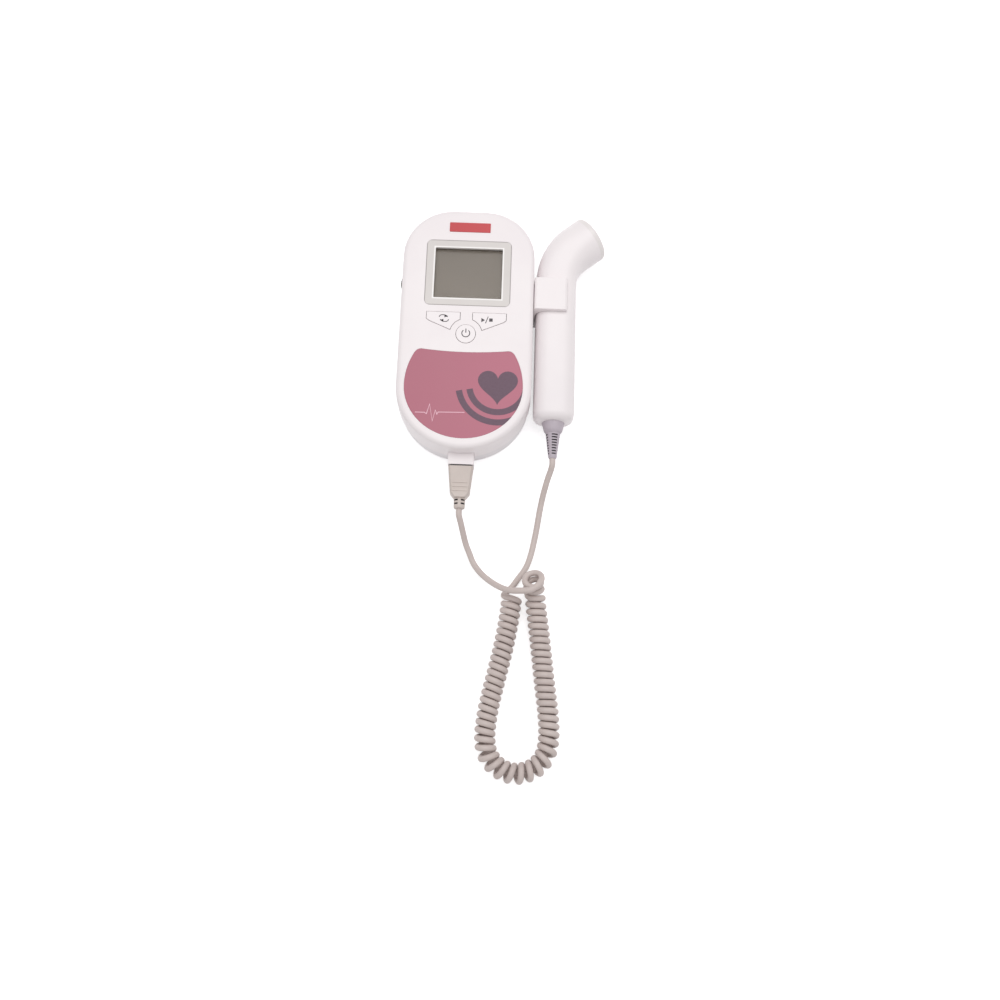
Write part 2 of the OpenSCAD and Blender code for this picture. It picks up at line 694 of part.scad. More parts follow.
module rear_shell() {
    color("gainsboro") difference() {
        union() {
            difference() {
                rear_body();
                plate(case_outline(case_wall + rear_step), back_plate_t, parting_z);
            }
            difference() {
                plate(case_outline(case_wall + slip), parting_z - 1, lip_h + 1);
                plate(case_outline(case_wall + slip + lip_t), parting_z - 2, lip_h + 3);
            }
            for (p = boss_places)
                post(p, case_boss_d + 0.5, back_plate_t - 0.1, parting_z);
            difference() {
                post([0, speaker_y], speaker_d + 0.3 + 2 * speaker_wall, back_plate_t - 0.1, back_plate_t + 3.6);
                post([0, speaker_y], speaker_d + 0.3, back_plate_t, back_plate_t + 4);
            }
            box(-bay_outer_half_w, bay_outer_half_w, bay_foot_y - bay_wall, bay_head_y + bay_wall,
                door_t + door_gap, bay_roof_z + bay_wall);
            intersection() {
                plate(case_outline(case_wall + rear_step - 0.1), door_t + door_gap, bay_wall);
                box(-bay_outer_half_w, bay_outer_half_w, -body_l, door_head_y + bay_wall, 0, body_h);
            }
        }
        box(-bay_half_w, bay_half_w, bay_foot_y, bay_head_y, -cut, bay_roof_z);
        door_space();
        grille();
        shared_openings();
        for (p = boss_places) {
            post(p, case_screw_d + 0.3, -cut, parting_z + cut);
            post(p, case_screw_head_d + 0.6, -cut, case_head_z + case_screw_head_h);
        }
    }
}

module battery_door() {
    color("gainsboro") {
        difference() {
            intersection() {
                rear_body();
                box(-door_half_w, door_half_w, -body_l, door_head_y, 0, door_t);
            }
            for (i = [0:4])
                box(-8, 8, bay_foot_y + 4 + 2.4 * i, bay_foot_y + 5.2 + 2.4 * i, -cut, 0.4);
        }
        for (side = [0, 1], y = tongue_starts)
            mirror([side, 0, 0]) box(door_half_w - 0.5, door_half_w + door_gap + tongue_out,
                y, y + tongue_run, tongue_z, tongue_z + tongue_t);
    }
}

module case_screws() {
    color("silver") for (p = boss_places) difference() {
        union() {
            post(p, case_screw_head_d, case_head_z, case_head_z + case_screw_head_h);
            post(p, case_screw_d, case_head_z, case_head_z + case_screw_head_h + case_screw_l);
        }
        for (turn = [0, 90]) translate([p[0], p[1], case_head_z]) rotate(turn)
            cube([2.6, 0.6, 1.6], center = true);
    }
}

// ---------- display ----------

module display_bezel() {
    color([0.85, 0.83, 0.82]) translate([0, screen_y, 0]) difference() {
        plate(rounded(bezel_w, bezel_h, bezel_corner_r), bezel_z, bezel_t);
        plate(rounded(screen_w, screen_h, 0.4), bezel_z - cut, bezel_t + 2 * cut);
    }
}

module display_window() {
    color([0.8, 0.85, 0.85, 0.4]) translate([0, screen_y, 0])
        plate(rounded(window_w, window_h, 1.4), window_z, window_t);
}

module lcd_glass() {
    color([0.53, 0.5, 0.48]) translate([0, screen_y, 0])
        plate(rounded(window_w + 2, window_h + 2, 0.5), glass_z, glass_t);
}

module backlight_frame() {
    color("white") translate([0, screen_y, 0]) difference() {
        plate(rounded(window_w + 3.4, window_h + 3.4, 1), board_top, backlight_t);
        plate(rounded(window_w - 4, window_h - 4, 1), board_top - cut, backlight_t - 1 + cut);
    }
}

// ---------- board ----------

module main_board() {
    color("seagreen") difference() {
        plate(case_outline(board_inset), board_z, board_t);
        for (p = boss_places)
            post(p, case_boss_d + 1.2, board_z - cut, board_top + cut);
        for (p = post_places)
            post(p, board_screw_d + 0.2, board_z - cut, board_top + cut);
    }
}

module chip(x, y, w, l, h) {
    box(x - w / 2, x + w / 2, y - l / 2, y + l / 2, board_top, board_top + h);
}

module board_chips() {
    color("dimgray") {
        for (c = chips)
            chip(c[0], foot_y + c[1], c[2], c[3], c[4]);
        for (i = [0:3])
            chip(-16 + 4 * i, foot_y - 7.85, 2, 1.2, 0.8);
        for (i = [0:2])
            post([16 + 5 * i, foot_y - 1.85], 4, board_top, board_top + 3.6);
    }
}

module key_switch(x, y) {
    difference() {
        box(x - switch_w / 2, x + switch_w / 2, y - switch_w / 2, y + switch_w / 2, board_top, switch_top);
        post([x, y], plunger_d + 2 * running, plunger_z - key_travel, switch_top + cut);
    }
}

wide_key_place = [(key_inner_x + key_outer_x) / 2, 3.2];

module key_switches() {
    color("black") {
        key_switch(0, power_y);
        key_switch(wide_key_place[0], wide_key_place[1]);
        key_switch(-wide_key_place[0], wide_key_place[1]);
    }
}

module plunger(x, y) {
    color("dimgray") post([x, y], plunger_d, board_top + key_travel + seat, key_rim_z);
}

module power_plunger() { plunger(0, power_y); }
module mode_plunger() { plunger(-wide_key_place[0], wide_key_place[1]); }
module play_plunger() { plunger(wide_key_place[0], wide_key_place[1]); }

module power_button() {
    color("whitesmoke") {
        post([0, power_y], power_d, key_rim_top - 0.1, body_h + key_proud);
        post([0, power_y], power_d + 2 * key_rim, key_rim_z, key_rim_top);
    }
}

module wide_key() {
    color("whitesmoke") {
        plate(key_outline(), key_rim_top - 0.1, body_h + key_proud - key_rim_top + 0.1);
        translate([0, 0, key_rim_z]) linear_extrude(key_rim_t)
            offset(delta = key_rim) polygon(key_outline());
    }
}

module play_button() { wide_key(); }
module mode_button() { mirror([1, 0, 0]) wide_key(); }

module board_screws() {
    color("silver") for (p = post_places) {
        post(p, board_screw_head_d, board_z - board_head_h, board_z);
        post(p, board_screw_d, board_z - 0.1, plate_z - 0.8);
    }
}

module speaker() {
    color("dimgray") translate([0, speaker_y, back_plate_t]) rotate_extrude() polygon([
        [0, 1.4], [speaker_d / 2 - 8, 1.4], [speaker_d / 2 - 3, 0.5], [speaker_d / 2 - 3, 0],
        [speaker_d / 2, 0], [speaker_d / 2, speaker_rim_t], [speaker_d / 2 - 2, speaker_rim_t],
        [10, speaker_h - 2], [10, speaker_h], [0, speaker_h]]);
}

// ---------- volume wheel and headphone socket ----------

module volume_pot() {
    color("dimgray") {
        post([wheel_x, wheel_y], pot_d, board_z - pot_t, board_z);
        post([wheel_x, wheel_y], spindle_d, wheel_z - seat - wheel_washer_t, board_z - 0.1);
        post([wheel_x, wheel_y], wheel_washer_d, wheel_z - seat - wheel_washer_t, wheel_z - seat);
    }
}

module volume_wheel() {
    color("black") translate([wheel_x, wheel_y, 0]) difference() {
        plate(wheel_outline(), wheel_z, wheel_t);
        post([0, 0], spindle_d + 2 * running, wheel_z - cut, wheel_top + cut);
    }
}

module headphone_socket() {
    color("black") difference() {
        union() {
            box(-body_w / 2 + case_wall + 0.1, jack_end_x + jack_body_l, jack_y - jack_w / 2,
                jack_y + jack_w / 2, jack_z - jack_w / 2, board_z);
            translate([jack_end_x, jack_y, jack_z]) rotate([0, 90, 0])
                cylinder(d = jack_w, h = case_wall + 1);
        }
        translate([jack_end_x - cut, jack_y, jack_z]) rotate([0, 90, 0])
            cylinder(d = jack_d, h = jack_depth + cut);
    }
}

// ---------- batteries ----------

// A cell with its button end towards +Y
module cell() {
    rotate([-90, 0, 0]) rotate_extrude() polygon([[0, 0], [cell_d / 2, 0],
        [cell_d / 2, cell_l - nub_l], [nub_d / 2, cell_l - nub_l], [nub_d / 2, cell_l], [0, cell_l]]);
}

module battery_cells() {
    color("goldenrod") {
        translate([-cell_x, bay_head_y - plate_t - cell_l, cell_z]) cell();
        translate([cell_x, bay_foot_y + plate_t + cell_l, cell_z]) rotate(180) cell();
    }
}

module contact_spring() {
    turn_rings = 8;
    rise = (spring_l - spring_wire_d - slip) / spring_turns;
    path = [for (i = [0:spring_turns * turn_rings]) let (t = 360 * i / turn_rings)
        [spring_r * cos(t), (spring_wire_d + slip) / 2 + rise * i / turn_rings, spring_r * sin(t)]];
    tube(path, spring_wire_d, 6, path[1] - path[0], path[len(path) - 1] - path[len(path) - 2]);
}

module contact_springs() {
    color("silver") {
        translate([-cell_x, bay_foot_y + plate_t, cell_z]) contact_spring();
        translate([cell_x, bay_head_y - plate_t, cell_z]) rotate(180) contact_spring();
    }
}

module contact_plates() {
    half = cell_x + spring_r + 1;
    color("silver") for (y = [bay_foot_y, bay_head_y - plate_t])
        box(-half, half, y, y + plate_t, cell_z - spring_r - 1, cell_z + spring_r + 1);
}

// ---------- label and badge ----------

module front_label() {
    color([0.73, 0.45, 0.52]) plate(label_outline(slip), body_h - label_t, label_t);
}

module name_badge() {
    color([0.77, 0.2, 0.23]) translate([0, badge_y, 0])
        plate(rounded(badge_w, badge_h, 0.4), body_h - badge_t / 2, badge_t);
}

// ---------- socket ----------

module socket_housing() {
    x = boss_w / 2;
    z = boss_h / 2;
    wall_y = -body_l / 2 + case_wall + lip_t + 1.4;
    color("whitesmoke") translate([0, 0, socket_z]) difference() {
        union() {
            box(-x, x, boss_end_y, boss_in_y, -z, z);
            box(-x - boss_flange, x + boss_flange, wall_y, wall_y + 2, -z + 0.5, z);
        }
        box(-tongue_w / 2 - 0.3, tongue_w / 2 + 0.3, boss_end_y - cut, boss_end_y + socket_depth,
            -tongue_h / 2 - 0.6, tongue_h / 2 + 0.3);
    }
}

module socket_contacts() {
    pitch = tongue_w / contact_n;
    color("gold") for (i = [0:contact_n - 1]) {
        x = (i - (contact_n - 1) / 2) * pitch;
        translate([x, 0, socket_z - tongue_h / 2 - 0.6])
            box(-contact_w / 2, contact_w / 2, boss_end_y + 1.5, boss_end_y + socket_depth, 0, contact_t);
    }
}

// ---------- probe holder ----------

module probe_holder() {
    inner_x = body_w / 2 + handle_gap - holder_gap;
    tip_x = body_w / 2 + holder_reach;
    half_l = holder_l / 2;
    color("whitesmoke") {
        translate([0, holder_y + half_l, probe_z]) rotate([90, 0, 0]) linear_extrude(holder_l)
            difference() {
                translate([(holder_x + tip_x) / 2, 0])
                    polygon(rounded(tip_x - holder_x, 2 * holder_half_h, holder_corner_r));
                translate([probe_x, 0])
                    polygon(soft_square(probe_x - inner_x, handle_t / 2 + holder_gap, handle_power));
                translate([probe_x, -handle_t / 2 - holder_gap])
                    square([handle_w, handle_t + 2 * holder_gap]);
            }
        box(holder_flange_x - 0.1, holder_x + 0.6,
            holder_y - holder_foot_l / 2, holder_y + holder_foot_l / 2,
            probe_z - holder_foot_h / 2, probe_z + holder_foot_h / 2);
        box(holder_flange_x - 1.6, holder_flange_x,
            holder_y - holder_foot_l / 2 - 1.4, holder_y + holder_foot_l / 2 + 1.4,
            probe_z - holder_foot_h / 2, board_z - 0.4);
    }
}

// ---------- probe ----------

module probe_outer() {
    skin(concat(
        [for (e = end_steps) probe_ring(e * handle_end_r,
            handle_end_r * (1 - sqrt(1 - pow(1 - e, 2))))],
        [probe_ring(handle_l / 2, 0), probe_ring(handle_l, 0)],
        [for (i = [1:8]) probe_ring(handle_l + arc_l * i / 8, 0)],
        [probe_ring(shell_end, 0)]));
}

module probe_inner() {
    skin(concat(
        [for (s = [handle_end_wall, handle_end_wall + 3]) probe_ring(s,
            s < handle_end_r ? probe_wall + 2 : probe_wall)],
        [probe_ring(handle_l, probe_wall)],
        [for (i = [1:6]) probe_ring(handle_l + arc_l * i / 6, probe_wall)],
        [probe_ring(shell_end + cut, probe_wall)]));
}

// One half of the probe's shell: side 0 is the front, side 1 the rear
module probe_half(side) {
    far = 2 * face_d;
    difference() {
        probe_outer();
        probe_inner();
        translate([probe_x, handle_end_y - cut, probe_z]) rotate([-90, 0, 0])
            cylinder(d = relief_hole_d, h = handle_end_wall + 2 * cut);
        box(0, probe_x + 3 * far, handle_end_y - far, bend_y + 3 * far,
            side == 0 ? probe_z - far : probe_z, side == 0 ? probe_z : probe_z + far);
    }
}

module probe_front_shell() { color("whitesmoke") probe_half(0); }
module probe_rear_shell() { color("gainsboro") probe_half(1); }

// Turns a part drawn along +Z into the probe's head, from the end of its shells outwards
module at_head() {
    translate(probe_point(shell_end)) rotate([0, 0, -bend_angle]) rotate([-90, 0, 0]) children();
}

module probe_cap() {
    r = face_d / 2;
    spigot_r = r - probe_wall - 0.25;
    edge = [for (i = [0:6]) let (t = 15 * i)
        [r - cap_edge_r * (1 - cos(t)), cap_t - cap_edge_r * (1 - sin(t))]];
    color([0.93, 0.91, 0.9]) at_head() rotate_extrude() polygon(concat(
        [[spigot_r - 1.4, -2.5], [spigot_r, -2.5], [spigot_r, 0], [r, 0]], edge,
        [[0, cap_t], [0, cap_t - 1.4], [spigot_r - 1.4, cap_t - 1.4]]));
}

module probe_crystals() {
    color("silver") at_head() for (side = [0, 180]) rotate(side) difference() {
        translate([0, 0, cap_t - 2.9]) cylinder(d = crystal_d, h = 1.5);
        translate([-crystal_d, -crystal_d, -cap_t]) cube([crystal_d + 0.4, 2 * crystal_d, 3 * cap_t]);
    }
}

module probe_board() {
    half = handle_w / 2 - probe_wall - seat;
    color("seagreen") {
        box(probe_x - half, probe_x + half, handle_end_y + 9, bend_y - 6, probe_z - 0.6, probe_z + 0.6);
        for (i = [0:3])
            box(probe_x - 3, probe_x + 3, handle_end_y + 16 + 14 * i, handle_end_y + 22 + 14 * i,
                probe_z + 0.6, probe_z + 2);
    }
}

module probe_boot() {
    relief_end = -collar_l - relief_l;
    slot_pitch = (relief_l - 2.4) / relief_rows;
    color([0.72, 0.67, 0.67]) translate([probe_x, handle_end_y, probe_z]) difference() {
        rotate([-90, 0, 0]) rotate_extrude() polygon([
            [0, handle_end_wall + 1.5], [5.4, handle_end_wall + 1.5], [5.4, handle_end_wall + slip],
            [relief_hole_d / 2 - slip, handle_end_wall + slip], [relief_hole_d / 2 - slip, 0],
            [collar_d / 2, 0], [collar_end_d / 2, 1 - collar_l], [collar_end_d / 2 - 0.8, -collar_l],
            [relief_d1 / 2, -collar_l], [relief_d2 / 2, relief_end + 0.5],
            [relief_d2 / 2 - 0.4, relief_end], [0, relief_end]]);
        for (row = [0:relief_rows - 1], column = [0:3]) {
            down = 1 + slot_pitch * row;
            r = mix(relief_d1, relief_d2, down / relief_l) / 2;
            translate([0, -collar_l - down, 0]) rotate([0, relief_turn + 90 * column, 0])
                translate([-0.44 * r, -slot_pitch / 2, 0.72 * r]) cube([0.88 * r, slot_pitch / 2, r]);
        }
    }
}

// ---------- plug ----------

// Outline of the plug's grip and shoulder seen from the front, drawn in by an inset
function plug_outline(inset) =
    let (a = plug_w / 2 - inset, b = plug_end_w / 2 - inset, c = plug_relief_d / 2 - inset / 2)
    [[a, plug_y], [-a, plug_y], [-b, plug_end_y], [-c, plug_neck_y], [c, plug_neck_y], [b, plug_end_y]];

module plug_body() {
    half = plug_h / 2;
    relief_r = plug_relief_d / 2;
    color([0.77, 0.72, 0.71]) translate([0, 0, socket_z]) difference() {
        union() {
            hull() {
                plate(plug_outline(0), -half + plug_chamfer, plug_h - 2 * plug_chamfer);
                plate(plug_outline(plug_chamfer), -half, plug_h);
            }
            for (i = [0:plug_ribs - 1], face = [0, 1]) mirror([0, 0, face]) {
                y = plug_end_y + 0.5 + plug_rib_pitch * i;
                box(-plug_rib_half, plug_rib_half, y, y + plug_rib_w, half - 0.5, half + plug_rib_h);
            }
            translate([0, plug_exit_y, 0]) rotate([-90, 0, 0]) rotate_extrude() polygon([
                [0, 0], [relief_r - 0.7, 0], [relief_r - 0.35, 0.2], [relief_r - 0.1, 0.7],
                [relief_r, plug_relief_l], [relief_r, plug_relief_l + 1], [0, plug_relief_l + 1]]);
        }
        for (row = [0, 1], side = [0, 1], face = [0, 1]) {
            y = plug_neck_y - plug_slot_w - 0.8 - plug_slot_pitch * row;
            mirror([side, 0, 0]) mirror([0, 0, face])
                box(plug_slot_x, relief_r + cut, y, y + plug_slot_w, 0.8, relief_r + cut);
        }
    }
}

module plug_tongue() {
    color("gainsboro") translate([0, 0, socket_z])
        box(-tongue_w / 2, tongue_w / 2, plug_y, plug_y + tongue_l, -tongue_h / 2 + 0.1, tongue_h / 2);
}

// ---------- cord ----------

lead_unit_start = [0, plug_exit_y, socket_z];
lead_unit_path = concat(
    [lead_unit_start, lead_unit_start - [0, cord_d, 0]], lead_unit_points,
    [coil_exit]);

module lead_unit() {
    color([0.75, 0.7, 0.69]) tube(lead_unit_path, cord_d, lead_sides, [0, -1, 0], -coil_exit_dir);
}

lead_probe_start = [probe_x, relief_end_y, probe_z];
lead_probe_path = concat(
    [lead_probe_start, lead_probe_start - [0, cord_d, 0]], lead_probe_points,
    [coil_entry - cord_d * unit(coil_entry_dir), coil_entry]);

module lead_probe() {
    color([0.75, 0.7, 0.69]) tube(lead_probe_path, cord_d, lead_sides, [0, -1, 0], coil_entry_dir);
}

helix_r = (coil_d - curl_cord_d) / 2;
axis_end = len(coil_axis) - 1;
axis_points = [for (i = [0:axis_steps]) spline(coil_axis, axis_end * i / axis_steps)];
axis_dirs = [for (i = [0:axis_steps])
    unit(axis_points[min(i + 1, axis_steps)] - axis_points[max(i - 1, 0)])];
// The curls open on a bend, so that they keep their gap on its inner side
axis_spread = [for (i = [0:axis_steps])
    let (a = axis_dirs[max(i - 3, 0)], b = axis_dirs[min(i + 3, axis_steps)],
         l = norm(axis_points[min(i + 3, axis_steps)] - axis_points[max(i - 3, 0)]))
    1 - helix_r * norm(b - a) / l];
axis_turns = [for (i = 0, n = 0; i <= axis_steps;
    n = i < axis_steps ? n + norm(axis_points[i + 1] - axis_points[i]) * axis_spread[i] : n,
    i = i + 1) n];
helix_rings = curl_rings * curls - 1;
turn_table = [for (i = [0:axis_steps]) [axis_turns[i] / axis_turns[axis_steps], axis_end * i / axis_steps]];

// Frame of the winding at a share of the curls: point on the axis, sideways and upward directions
function winding(share) =
    let (u = lookup(share, turn_table), p = spline(coil_axis, u),
         dir = unit(spline(coil_axis, min(u + 0.02, axis_end)) - spline(coil_axis, max(u - 0.02, 0))),
         across = unit(cross(dir, [0, 0, 1])))
    [p, across, cross(across, dir), dir];

// Left-handed helix: ring i of the curls
function helix_point(i) =
    let (w = winding(i / helix_rings), t = first_phase + 360 * i / curl_rings,
         r = helix_r + loose_curl * ease(1 - (helix_rings - i) / (1.2 * curl_rings)))
    w[0] + r * (sin(t) * w[1] - cos(t) * w[2]);

helix = [for (i = [0:helix_rings]) helix_point(i)];
coil_start = coil_entry + curl_cord_d * unit(coil_entry_dir);
coil_finish = coil_exit - curl_cord_d * unit(coil_exit_dir);
coil_path = concat(
    [coil_entry, coil_start],
    [for (i = [1:join_steps]) join(coil_start, unit(coil_entry_dir), helix[0],
        unit(helix[1] - helix[0]), entry_reach, i / (join_steps + 1))],
    helix,
    [for (i = [1:join_steps]) join(helix[helix_rings], unit(helix[helix_rings] - helix[helix_rings - 1]),
        coil_finish, unit(coil_exit_dir), exit_reach, i / (join_steps + 1))],
    [coil_finish, coil_exit]);

// Least clear gap between stretches of the tube that are more than half a curl apart
module print_coil_gap() {
    last = len(coil_path) - 2;
    near = min([for (i = [0:last - 5], j = [i + 5:min(i + 24, last)])
        point_to_line(coil_path[i], coil_path[j], coil_path[j + 1])]);
    far = min([for (i = [0:2:last - 25], j = [i + 25:last])
        norm(coil_path[i] - coil_path[j])]);
    length = [for (i = 0, n = 0; i <= last; n = n + norm(coil_path[i + 1] - coil_path[i]), i = i + 1) n];
    echo(coil_gap_in_turns = near - curl_cord_d, coil_gap_between_legs = far - curl_cord_d,
        coil_lowest = min([for (p = coil_path) p[2]]) - curl_cord_d / 2, wire_length = length[last]);
}

module cord_coil() {
    print_coil_gap();
    color([0.75, 0.7, 0.69]) tube(coil_path, curl_cord_d, coil_sides, coil_entry_dir, coil_exit_dir);
}

// ---------- assembly ----------

front_shell();
rear_shell();
display_bezel();
display_window();
lcd_glass();
backlight_frame();
front_label();
name_badge();
main_board();
board_chips();
key_switches();
speaker();
volume_pot();
headphone_socket();
socket_housing();
socket_contacts();
battery_cells();
contact_springs();
contact_plates();
case_screws();
board_screws();
probe_holder();
power_button();
power_plunger();
mode_button();
mode_plunger();
play_button();
play_plunger();
volume_wheel();
battery_door();
probe_front_shell();
probe_rear_shell();
probe_cap();
probe_crystals();
probe_board();
probe_boot();
plug_body();
plug_tongue();
lead_unit();
cord_coil();
lead_probe();
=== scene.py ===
# %% [markdown]
# # Pocket fetal heart monitor
# A hand-held unit lies on its back with its probe in a holder on the right, and a curly cord joins
# the two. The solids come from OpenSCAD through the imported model. This notebook dresses them:
# it puts a smooth cord, soft-edged trim and printed marks around them, and gives each surface
# a finish of its own. All lengths are in metres, so a millimetre is written as MM.

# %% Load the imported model
import math

import bmesh
import bpy
import numpy as np
from mathutils import Matrix, Vector


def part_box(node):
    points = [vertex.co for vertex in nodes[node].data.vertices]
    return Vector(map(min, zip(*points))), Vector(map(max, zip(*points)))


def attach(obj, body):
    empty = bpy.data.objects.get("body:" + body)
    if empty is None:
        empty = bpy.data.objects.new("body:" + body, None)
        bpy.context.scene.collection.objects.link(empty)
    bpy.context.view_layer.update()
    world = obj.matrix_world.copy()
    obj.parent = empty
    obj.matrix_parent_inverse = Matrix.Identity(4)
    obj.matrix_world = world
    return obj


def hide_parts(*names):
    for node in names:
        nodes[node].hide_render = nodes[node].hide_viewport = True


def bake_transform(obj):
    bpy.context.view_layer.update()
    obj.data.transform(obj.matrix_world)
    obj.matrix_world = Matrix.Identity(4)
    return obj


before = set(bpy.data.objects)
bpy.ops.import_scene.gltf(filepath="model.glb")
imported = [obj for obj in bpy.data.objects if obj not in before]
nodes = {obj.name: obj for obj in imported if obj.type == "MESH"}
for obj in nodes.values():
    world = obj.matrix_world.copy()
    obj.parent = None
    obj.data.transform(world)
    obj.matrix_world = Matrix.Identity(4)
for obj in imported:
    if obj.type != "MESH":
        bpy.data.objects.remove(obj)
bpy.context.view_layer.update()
MM = 0.001

# %% [markdown]
# ## Camera
# The photograph looks almost straight down at the unit. Its camera is tilted by 14 degrees towards
# the foot end and rolled by about 2 degrees. These numbers came from matching the case's outline,
# the display's corners and the cord to the picture. A 36 mm lens on a 36 mm sensor sees as far to
# each side as it is away, halved, which keeps the arithmetic simple.

# %% Set the camera
TILT = math.radians(14.0)
ROLL = math.radians(1.95)
CAMERA_AT = (21.2 * MM, -217.75 * MM, 522.03 * MM)
lens = bpy.data.cameras.new("photo_camera")
lens.lens = 36
lens.sensor_width = 36
camera = bpy.data.objects.new("photo_camera", lens)
bpy.context.scene.collection.objects.link(camera)
camera.matrix_world = (
    Matrix.Translation(CAMERA_AT)
    @ Matrix.Rotation(TILT, 4, "X")
    @ Matrix.Rotation(ROLL, 4, "Z")
)
bpy.context.scene.camera = camera
print("camera at", [round(c, 4) for c in camera.location])

# %% [markdown]
# ## Cord
# A curly cord is one long tube, so it is made as one mesh: rings of points set square to a line,
# and joined by faces. The leads and the curls' axis are those of the CAD source, where the tube
# of the curls is a little thinner. The line leaves the probe's strain relief, drops to the
# table, winds in 54 left-handed curls round a bent axis, and rises to the unit's plug. The curls
# open on a bend, as a real cord's do, so that they never touch.

# %% Points of the cord's line, in millimetres
CORD_D, COIL_D = 3.2, 11
CURLS = 54
HELIX_R = (COIL_D - CORD_D) / 2
STRAIGHT = 2.9
BOOT_END = [48.1, -68, 15]
PLUG_EXIT = [0, -96.65, 14]
LEAD_PROBE = [[48.1, -71.2, 15], [47.3, -74.4, 12.7], [46.2, -77.5, 10.6], [44.8, -82.5, 7.4],
    [43.6, -87.8, 4.6], [42.6, -93.5, 2.7], [41.8, -99, 1.9], [41, -104.5, 1.7], [40, -110, 1.7],
    [38.9, -115.6, 1.7], [37.4, -121, 1.7], [35.5, -125.4, 1.7]]
LEAD_UNIT = [[0, -99.85, 14], [1.2, -104, 11.5], [2.6, -109, 8], [4, -113.5, 5], [6, -118, 3],
    [8, -122.5, 2.2], [10.8, -126.6, 3], [14, -130.1, 4.8], [17.8, -133.3, 7.4],
    [21.6, -136, 10.6], [25.4, -138, 13.8], [29.4, -139, 16.6]]
AXIS = [[29, -141.5, 5.6], [28, -151, 5.6], [26.5, -161, 5.6], [24.6, -171, 5.6],
    [22.4, -181, 5.6], [20.2, -191, 5.6], [18.4, -201, 5.6], [17.6, -212, 5.6],
    [19.4, -220.6, 5.6], [25.2, -226.8, 5.6], [33.6, -229.2, 5.6], [42, -226.8, 5.6],
    [47.8, -220.6, 5.6], [49.7, -212, 5.6], [49.3, -201, 5.6], [47.8, -190, 5.6],
    [46.3, -179, 5.6], [44.9, -168, 5.6], [43.4, -157, 5.6], [41.9, -146.6, 5.8],
    [41.1, -140.4, 7], [40.2, -135.7, 10.4], [39.4, -131.9, 15.4]]
COIL_ENTRY, ENTRY_DIR = [31.7, -131, 1.7], [-0.55, -0.835, 0]
COIL_EXIT, EXIT_DIR = [33.4, -139.2, 18.4], [-0.965, 0, -0.26]


def unit(v):
    v = np.asarray(v, float)
    return v / np.linalg.norm(v)


def spline(points, u):
    """Smooth curve through the points; u counts them, so u = 2.5 is halfway from the third."""
    p = np.asarray(points, float)
    k = int(min(math.floor(u), len(p) - 2))
    t = u - k
    b, c = p[k], p[k + 1]
    a = p[k - 1] if k else 2 * p[0] - p[1]
    d = p[k + 2] if k + 2 < len(p) else 2 * p[k + 1] - p[k]
    return (2 * b + (c - a) * t + (2 * a - 5 * b + 4 * c - d) * t * t
            + (3 * b - a - 3 * c + d) * t ** 3) / 2


def join(p, dir_p, q, dir_q, reach, t):
    """A smooth bridge that leaves p along dir_p and arrives at q along dir_q."""
    p, q = np.asarray(p, float), np.asarray(q, float)
    return ((2 * t ** 3 - 3 * t * t + 1) * p + (t ** 3 - 2 * t * t + t) * reach * unit(dir_p)
            + (3 * t * t - 2 * t ** 3) * q + (t ** 3 - t * t) * reach * unit(dir_q))


def smooth_through(points, start, end, steps):
    """Even points on the spline, with its ends drawn out along the directions given."""
    p = [np.asarray(q, float) for q in points]
    last = len(p) - 1
    guide = [p[0] - unit(start) * np.linalg.norm(p[1] - p[0])] + p
    guide += [p[-1] + unit(end) * np.linalg.norm(p[-1] - p[-2])]
    return [spline(guide, 1 + last * i / steps) for i in range(steps + 1)]


# %% Wind the curls
RINGS_PER_CURL = 20
STEPS = 320
FIRST_ANGLE = 135
LOOSE_CURL, LOOSE_TURNS = 0.6, 1.2  # the last curl widens by 0.6 mm over 1.2 turns
along = [spline(AXIS, (len(AXIS) - 1) * i / STEPS) for i in range(STEPS + 1)]
heading = [unit(along[min(i + 1, STEPS)] - along[max(i - 1, 0)]) for i in range(STEPS + 1)]
turned = [0.0]
for i in range(STEPS):
    a, b = max(i - 3, 0), min(i + 3, STEPS)
    bend = np.linalg.norm(heading[b] - heading[a]) / np.linalg.norm(along[b] - along[a])
    turned.append(turned[-1] + np.linalg.norm(along[i + 1] - along[i]) * (1 - HELIX_R * bend))
turned = np.array(turned) / turned[-1]
ring_total = RINGS_PER_CURL * CURLS - RINGS_PER_CURL // 8
curl_line = []
for i in range(ring_total + 1):
    share = i / ring_total
    u = float(np.interp(share, turned, np.linspace(0, len(AXIS) - 1, STEPS + 1)))
    forward = unit(spline(AXIS, min(u + 0.02, len(AXIS) - 1)) - spline(AXIS, max(u - 0.02, 0)))
    across = unit(np.cross(forward, [0, 0, 1]))
    upward = np.cross(across, forward)
    t = min(1, max(0, 1 - (ring_total - i) / (LOOSE_TURNS * RINGS_PER_CURL)))
    radius = HELIX_R + LOOSE_CURL * t * t * (3 - 2 * t)
    phase = math.radians(FIRST_ANGLE + 360 * i / RINGS_PER_CURL)
    outward = math.sin(phase) * across - math.cos(phase) * upward
    curl_line.append(spline(AXIS, u) + radius * outward)
print("curls:", CURLS, "rings:", len(curl_line))

